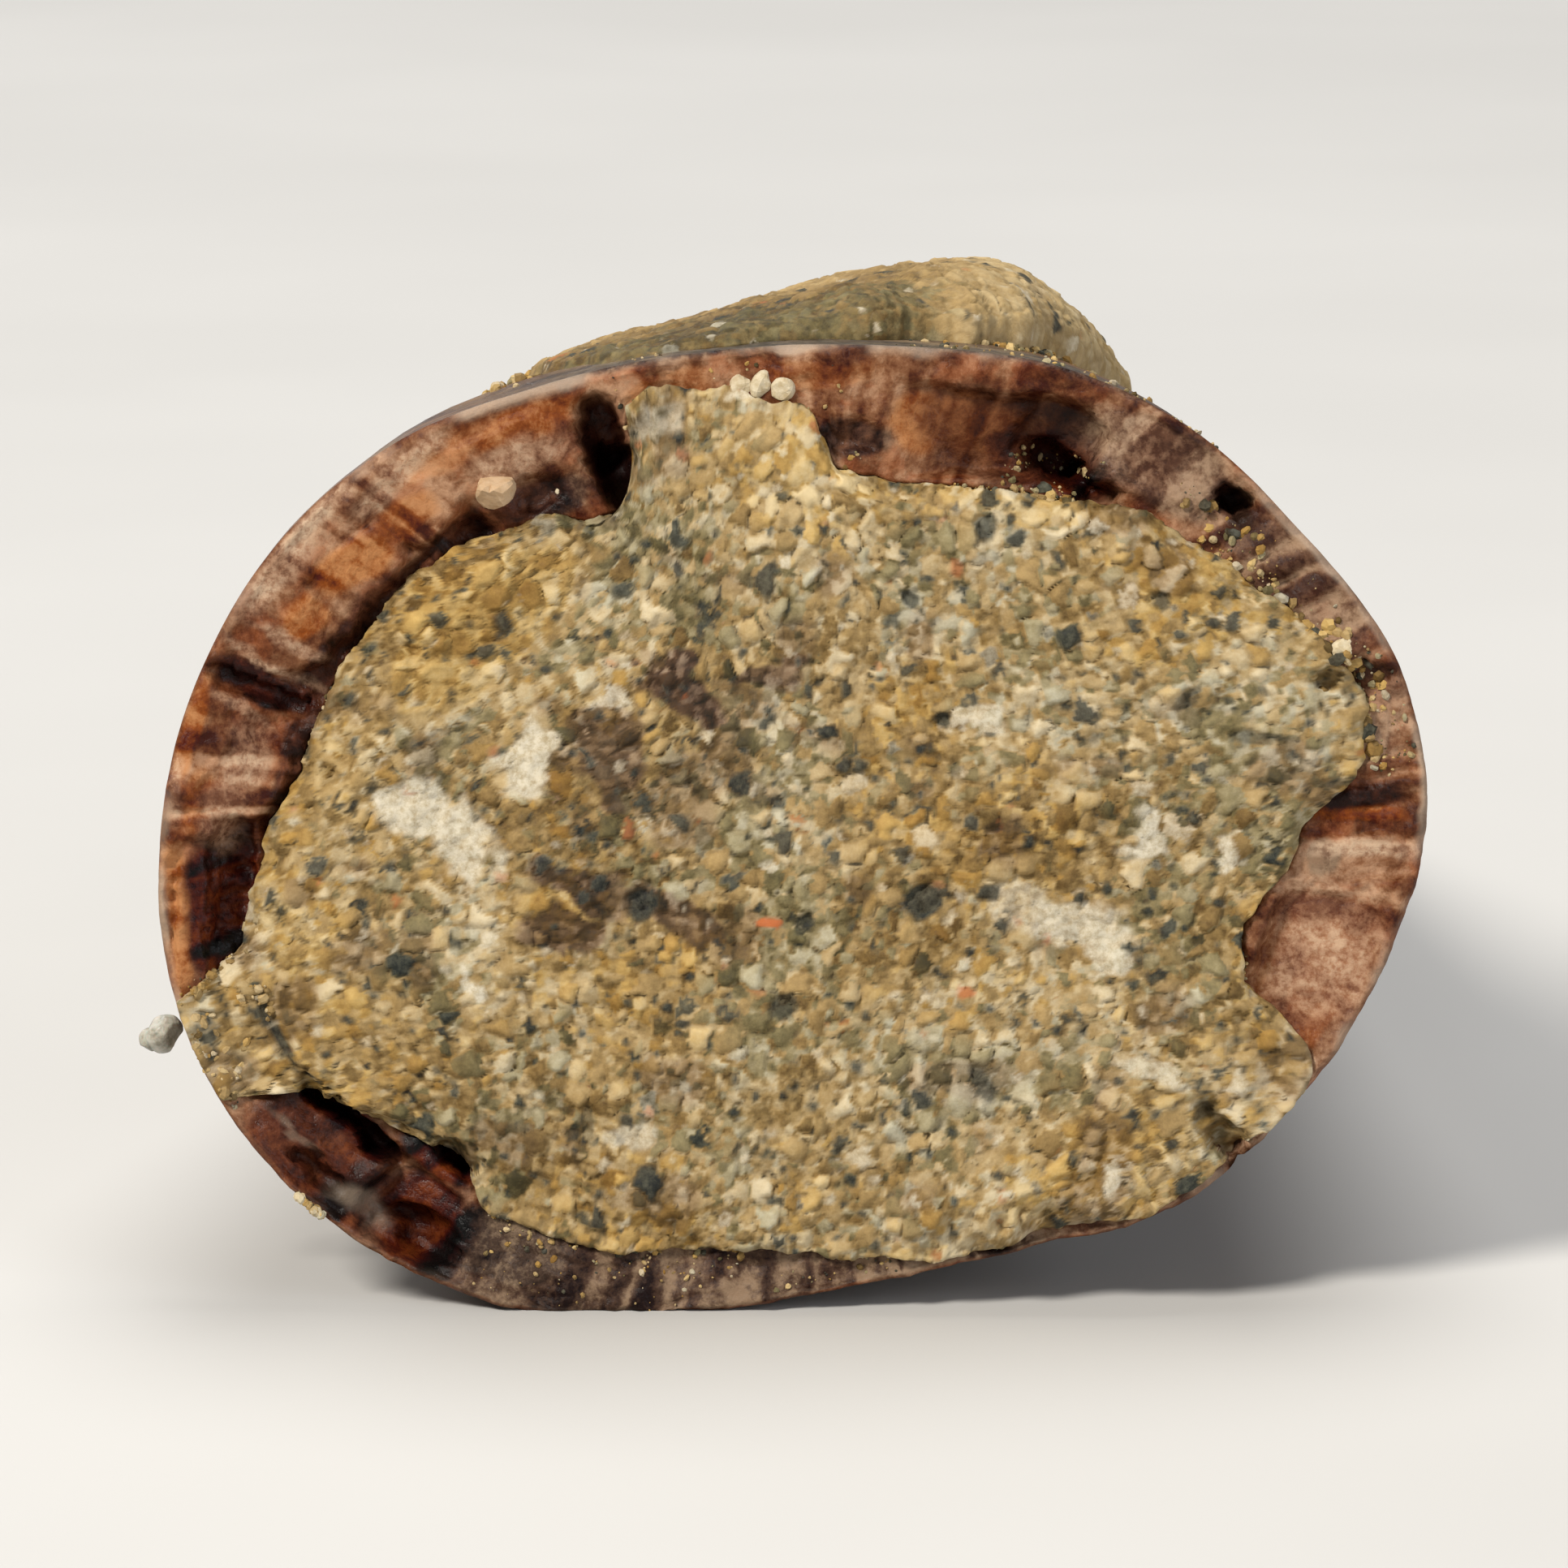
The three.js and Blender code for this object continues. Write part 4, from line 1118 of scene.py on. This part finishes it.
def stuck_grain():
    """One pale, glassy grain with a smaller one on it, stuck to the front edge."""
    skin = Skin(*STONE_FACTS)
    x, y, z = GRAIN_AT
    centres = np.array([GRAIN_AT, (x - 0.2, y - 0.02, z - 0.08)])
    sizes = np.array([GRAIN_SIZE, (0.17, 0.16, 0.16)])
    pebbles(skin, centres, sizes, np.array([4, 9]), 30, 44, rough=0.04, cut=0.8)
    return skin


# ---- Materials ----

SHEEN = 0.07  # what the light adds to a black surface, for each unit of its specular level
LIGHT_LEVEL = 1.55  # and how much brighter than its own colour it shows the rest


def linear(colour):
    """Colour given as on a screen, from 0 to 255, as Blender takes it."""
    share = np.asarray(colour, dtype=float) / 255
    value = np.where(share <= 0.04045, share / 12.92, ((share + 0.055) / 1.055) ** 2.4)
    return (*(float(v) for v in value), 1.0)


def own(colour, sheen):
    """A surface's own colour, for the colour from 0 to 255 that it shows in the scene's light."""
    return (*(max(0.002, (value - sheen) / LIGHT_LEVEL) for value in linear(colour)[:3]), 1.0)


class Wire:
    """An output of a material's nodes. Sums and products of wires and numbers make math nodes."""

    def __init__(self, look, socket):
        self.look, self.socket = look, socket

    def __add__(self, other):
        return self.look.math("ADD", self, other)

    def __sub__(self, other):
        return self.look.math("SUBTRACT", self, other)

    def __mul__(self, other):
        return self.look.math("MULTIPLY", self, other)

    __rmul__ = __mul__


class Look:
    """A material and short calls for its nodes. Values may be numbers, colours or wires."""

    def __init__(self, name, **fixed):
        self.material = bpy.data.materials.new(name)
        self.material.use_nodes = True
        self.tree = self.material.node_tree
        self.shader = self.tree.nodes["Principled BSDF"]
        self.sheen = SHEEN * fixed["Specular_IOR_Level"]
        self.colour = None
        for socket, value in fixed.items():
            self.put(self.shader.inputs[socket.replace("_", " ")], value)

    def put(self, socket, value):
        if isinstance(value, Wire):
            self.tree.links.new(value.socket, socket)
        elif isinstance(value, tuple) and socket.type == "RGBA":
            socket.default_value = own(value, self.sheen)
        else:
            socket.default_value = value

    def node(self, kind, output, inputs, **settings):
        made = self.tree.nodes.new(kind)
        for setting, value in settings.items():
            setattr(made, setting, value)
        for key, value in inputs.items():
            self.put(made.inputs[key], value)
        return Wire(self, made.outputs[output])

    def math(self, operation, a, b):
        return self.node("ShaderNodeMath", 0, {0: a, 1: b}, operation=operation)

    def fact(self, name, output="Fac"):
        return self.node("ShaderNodeAttribute", output, {}, attribute_name=name)

    def place(self, scale=(1.0, 1.0, 1.0)):
        inputs = {0: self.fact("place", "Vector"), 1: scale}
        return self.node("ShaderNodeVectorMath", 0, inputs, operation="MULTIPLY")

    def noise(self, vector, scale, detail=4.0, roughness=0.55, distortion=0.0, output="Fac"):
        inputs = {"Vector": vector, "Scale": scale, "Detail": detail, "Roughness": roughness,
                  "Distortion": distortion}
        return self.node("ShaderNodeTexNoise", output, inputs)

    def range(self, value, low, high, to_low=0.0, to_high=1.0):
        inputs = {"Value": value, "From Min": low, "From Max": high, "To Min": to_low, "To Max": to_high}
        return self.node("ShaderNodeMapRange", "Result", inputs, interpolation_type="SMOOTHSTEP")

    def cracks(self, stretch, scale, width):
        """Strength of hairline cracks, drawn out by a stretch and broken off here and there."""
        place = self.place(stretch)
        wander = self.noise(place, 2.5 * scale, 4.0, 0.5, output="Color")
        inputs = {0: wander, 1: (0.5 / scale,) * 3, 2: place}
        place = self.node("ShaderNodeVectorMath", 0, inputs, operation="MULTIPLY_ADD")
        inputs = {"Vector": place, "Scale": scale}
        cells = self.node("ShaderNodeTexVoronoi", "Distance", inputs, feature="DISTANCE_TO_EDGE")
        shown = self.range(self.noise(place, 0.6 * scale, 3.0), 0.44, 0.58)
        return self.range(cells, 0.0, width, 1.0, 0.0) * shown

    def ramp(self, value, *stops):
        colour = self.node("ShaderNodeValToRGB", "Color", {"Fac": value})
        elements = colour.socket.node.color_ramp.elements
        while len(elements) < len(stops):
            elements.new(0.5)
        for element, (position, paint) in zip(elements, stops):
            element.position, element.color = position, own(paint, self.sheen)
        return colour

    def paint(self, share, colour, *stops):
        """Blends a share of a colour over the look's own, or of a ramp with those stops over a wire."""
        inputs = {0: share, 6: self.colour, 7: self.ramp(colour, *stops) if stops else colour}
        self.colour = self.node("ShaderNodeMix", 2, inputs, data_type="RGBA")

    def finish(self, roughness, height, strength, distance):
        """Links the colour, the roughness and a bump of that strength and depth in mm."""
        inputs = {"Height": height, "Strength": strength, "Distance": distance * MM}
        normal = self.node("ShaderNodeBump", "Normal", inputs)
        for name, value in (("Base Color", self.colour), ("Roughness", roughness), ("Normal", normal)):
            self.put(self.shader.inputs[name], value)
        return self.material


def enamel_look():
    look = Look("fossil_enamel", Coat_Weight=0.1, Coat_Roughness=0.25, Specular_IOR_Level=0.35)
    place = look.place()
    cloud = look.noise(place, 0.25, 6.0, 0.62, 0.8)
    mottle = look.noise(place, 1.4, 6.0, 0.66, 0.5)
    streak = look.noise(look.place((1.0, 0.22, 1.0)), 1.8, 6.0, 0.62)
    fine = look.noise(look.place((1.0, 0.4, 1.0)), 8.0, 4.0, 0.62)
    tone = 0.6 * cloud + 0.4 * mottle
    look.colour = look.ramp(tone, (0.36, (56, 38, 30)), (0.45, (92, 62, 44)), (0.53, (126, 88, 60)),
                            (0.64, (164, 122, 84)))
    look.paint(look.range(streak, 0.46, 0.66, 0.0, 0.55), (66, 46, 38))
    look.paint(look.range(fine, 0.5, 0.7, 0.0, 0.35), (160, 122, 86))
    spots = look.range(look.noise(place, 2.6, 3.0, 0.6), 0.62, 0.7, 0.0, 0.6)
    look.paint(spots, (44, 34, 32))
    look.paint(0.35 * look.fact("keel"), (140, 104, 72))
    look.paint(0.5 * look.fact("worn"), (150, 114, 82))
    # Painted reflection of the glossy enamel near the base.
    look.paint(0.7 * look.fact("grey"), fine, (0.35, (60, 62, 62)), (0.65, (110, 108, 102)))
    low = look.range(look.node("ShaderNodeSeparateXYZ", 1, {0: place}), 9.0, 0.0)
    dusty = look.range(look.noise(place, 0.9, 6.0, 0.7), 0.46, 0.64) * low
    look.paint(0.45 * dusty, (174, 146, 104))
    long = look.cracks((1.0, 0.14, 1.0), 0.42, 0.022)
    net = look.cracks((1.0, 0.45, 1.0), 1.3, 0.035)
    cracks = look.math("MAXIMUM", long, 0.6 * net)
    look.paint(0.85 * cracks, look.noise(place, 2.0, 2.0), (0.46, (36, 27, 23)), (0.66, (150, 120, 82)))
    broken = look.range(look.noise(place, 1.1, 3.0), 0.38, 0.6, 0.15, 0.85)
    # Pale edge of the broken enamel, partly a painted highlight.
    look.paint(look.fact("edge") * broken, (178, 162, 142))
    rough = look.range(look.noise(place, 1.6, 5.0, 0.65), 0.35, 0.7, 0.28, 0.52)
    relief = 0.5 * fine + look.noise(place, 14.0, 3.0, 0.6) - 1.2 * cracks
    return look.finish(rough + 0.2 * dusty, relief, 0.3, 0.06)


def dentine_look():
    look = Look("broken_dentine", Specular_IOR_Level=0.12)
    place = look.place()
    mottle = look.noise(place, 2.0, 6.0, 0.64, 0.5)
    grit = look.noise(place, 9.0, 4.0, 0.65)
    ray = look.range(look.fact("ray"), -0.5, 0.6)
    tone = 0.62 * mottle + 0.4 * grit + 0.3 * ray - 0.16
    look.colour = look.ramp(tone, (0.32, (66, 34, 24)), (0.44, (108, 64, 42)), (0.56, (146, 100, 70)),
                            (0.72, (198, 154, 120)))
    redder = look.range(look.noise(place, 1.1, 5.0, 0.62), 0.49, 0.6, 0.0, 0.65)
    look.paint(redder, tone, (0.34, (92, 44, 28)), (0.5, (148, 84, 52)), (0.68, (186, 122, 84)))
    # On the broken dentine the same fact is the dentine's own grey.
    look.paint(look.fact("grey"), tone, (0.36, (34, 26, 24)), (0.5, (84, 66, 55)), (0.64, (150, 126, 102)))
    look.paint(look.fact("orange"), tone, (0.3, (88, 36, 10)), (0.48, (152, 80, 34)),
               (0.66, (206, 142, 90)))
    # Dark dentine, which also paints the shade where the spots lie over pits and the crack.
    look.paint(look.fact("dark"), tone, (0.36, (22, 10, 8)), (0.5, (48, 22, 12)), (0.62, (80, 36, 18)),
               (0.76, (122, 60, 32)))
    crumbly = look.range(grit, 0.36, 0.56, 0.55, 1.0)
    look.paint(look.fact("pale") * crumbly, tone, (0.34, (140, 98, 74)), (0.5, (188, 148, 118)),
               (0.66, (224, 192, 160)))
    # Painted shade in the deep pits and grooves of the rim.
    look.paint(0.6 * look.fact("hollow"), (40, 18, 12))
    # Pale rim line and painted highlights on the breaks.
    look.paint(0.7 * look.fact("edge"), (196, 172, 148))
    rough = look.range(grit, 0.3, 0.7, 0.36, 0.6) - 0.14 * look.fact("dark")
    return look.finish(rough, 0.6 * mottle + grit, 0.5, 0.06)


def sandstone_look():
    look = Look("sandstone", Specular_IOR_Level=0.25)
    place = look.place()
    fine = look.noise(place, 8.0, 5.0, 0.68)
    tone = look.fact("tone") + 0.6 * (fine - 0.5)
    hue = look.fact("hue")
    look.colour = look.ramp(tone, (0.0, (108, 84, 50)), (0.25, (158, 130, 84)), (0.5, (194, 164, 112)),
                            (0.75, (218, 192, 144)), (1.0, (240, 222, 184)))
    look.paint(look.range(hue, 0.42, 0.14), tone, (0.0, (76, 70, 50)), (0.25, (124, 114, 80)),
               (0.5, (164, 150, 110)), (0.75, (194, 182, 146)), (1.0, (220, 212, 184)))
    look.paint(look.range(hue, 0.58, 0.9, 0.0, 0.85), tone, (0.0, (160, 120, 62)), (0.3, (200, 158, 86)),
               (0.6, (226, 188, 114)), (1.0, (244, 218, 164)))
    # Painted shade in the low places between the grains.
    look.paint(0.45 * look.fact("joint_shade"), fine, (0.35, (84, 66, 38)), (0.65, (140, 114, 70)))
    look.paint(0.85 * look.fact("stain"), tone, (0.0, (34, 22, 28)), (0.4, (70, 48, 46)),
               (0.7, (122, 96, 82)), (1.0, (176, 152, 128)))
    look.paint(0.9 * look.fact("calcite"), fine, (0.3, (192, 174, 138)), (0.58, (242, 232, 208)))
    look.paint(look.fact("ember"), (208, 122, 76))
    look.paint(0.9 * look.fact("speck"), fine, (0.4, (44, 50, 50)), (0.65, (90, 92, 82)))
    rough = look.range(fine, 0.3, 0.7, 0.62, 0.92)
    return look.finish(rough, look.noise(place, 22.0, 3.0, 0.6), 0.35, 0.03)


def quartz_look():
    look = Look("pale_grain", Specular_IOR_Level=0.5, Subsurface_Weight=0.2, Subsurface_Scale=0.0003)
    place = look.place()
    cloud = look.noise(place, 4.5, 4.0, 0.6)
    look.colour = look.ramp(cloud, (0.35, (150, 146, 130)), (0.5, (200, 196, 180)), (0.65, (228, 224, 212)))
    rough = look.range(cloud, 0.3, 0.7, 0.35, 0.6)
    return look.finish(rough, look.noise(place, 12.0, 3.0), 0.4, 0.04)


def floor_look():
    look = Look("plain_floor", Specular_IOR_Level=0.2)
    cloud = look.noise(look.node("ShaderNodeTexCoord", "Object", {}), 30.0, 3.0)
    look.colour = look.ramp(cloud, (0.4, (226, 224, 220)), (0.6, (230, 228, 224)))
    return look.finish(0.8, cloud, 0.02, 0.1)


# ---- Pieces ----

sandstone = sandstone_look()
pieces = (
    (tooth(), "tooth_with_broken_rim", (enamel_look(), dentine_look()), "tooth_crown"),
    (plug(), "sandstone_in_cavity", (sandstone,), "sandstone_plug"),
    (lump(), "sandstone_lump_on_side", (sandstone,), "sandstone_lump"),
    (stuck_grain(), "pale_stuck_grain", (quartz_look(),), "stuck_sand_grain"),
    (loose_sand(), "loose_sand", (sandstone,), None),
)
for skin, name, materials, node in pieces:
    piece = skin.build(name, materials, soft=node is not None)
    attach(piece, "root")
    if node:
        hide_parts(node)

# ---- Floor, light and camera ----

FLOOR_HALF = 1.2
CAMERA_TILT = math.radians(5.0)  # down from the tooth's own axis
CAMERA_TARGET = (-0.163, 0.0, 0.628)
CAMERA_DISTANCE = 150.0
FRAME_WIDTH = 22.47
# Name, place and size in metres, power in watts, colour.
LIGHTS = (
    ("key", (-0.22, -0.27, 0.30), 0.12, 2.6, (255, 250, 242)),
    ("fill", (0.32, -0.26, 0.12), 0.30, 0.85, (244, 248, 255)),
    ("top", (0.02, 0.12, 0.42), 0.30, 1.5, (255, 255, 255)),
    ("back", (-0.25, 0.38, 0.22), 0.25, 0.6, (255, 255, 255)),
)
LIGHTS_TARGET = (0, -0.012, 0.007)
SKY_COLOUR = (0.9, 0.92, 0.95, 1.0)
SKY_STRENGTH = 0.14


def floor():
    mesh = bpy.data.meshes.new("floor")
    corners = [(-1, -1), (1, -1), (1, 1), (-1, 1)]
    mesh.from_pydata([(x * FLOOR_HALF, y * FLOOR_HALF, 0) for x, y in corners], [], [(0, 1, 2, 3)])
    mesh.materials.append(floor_look())
    put_in_scene("floor", mesh)


def aim(thing, place, target):
    """Puts a light or a camera at a place and turns it to a target, both in metres."""
    thing.location = place
    thing.rotation_euler = (Vector(target) - Vector(place)).to_track_quat("-Z", "Y").to_euler()


def soft_light(name, place, size, power, colour):
    data = bpy.data.lights.new(name, "AREA")
    data.shape = "DISK"
    data.size, data.energy, data.color = size, power, linear(colour)[:3]
    aim(put_in_scene(name, data), place, LIGHTS_TARGET)


floor()
for light in LIGHTS:
    soft_light(*light)

world = bpy.data.worlds.new("studio")
world.use_nodes = True
sky = world.node_tree.nodes["Background"].inputs
sky["Color"].default_value, sky["Strength"].default_value = SKY_COLOUR, SKY_STRENGTH
bpy.context.scene.world = world
bpy.context.scene.view_settings.view_transform = "Standard"

lens = bpy.data.cameras.new("camera")
lens.sensor_fit = "HORIZONTAL"
lens.angle = 2 * math.atan(FRAME_WIDTH / 2 / CAMERA_DISTANCE)
lens.clip_start, lens.clip_end = 0.005, 10.0
camera = put_in_scene("camera", lens)
target = np.array(CAMERA_TARGET)
eye = target - CAMERA_DISTANCE * np.array([0, math.cos(CAMERA_TILT), -math.sin(CAMERA_TILT)])
aim(camera, laid_down(eye), laid_down(target))
bpy.context.scene.camera = camera
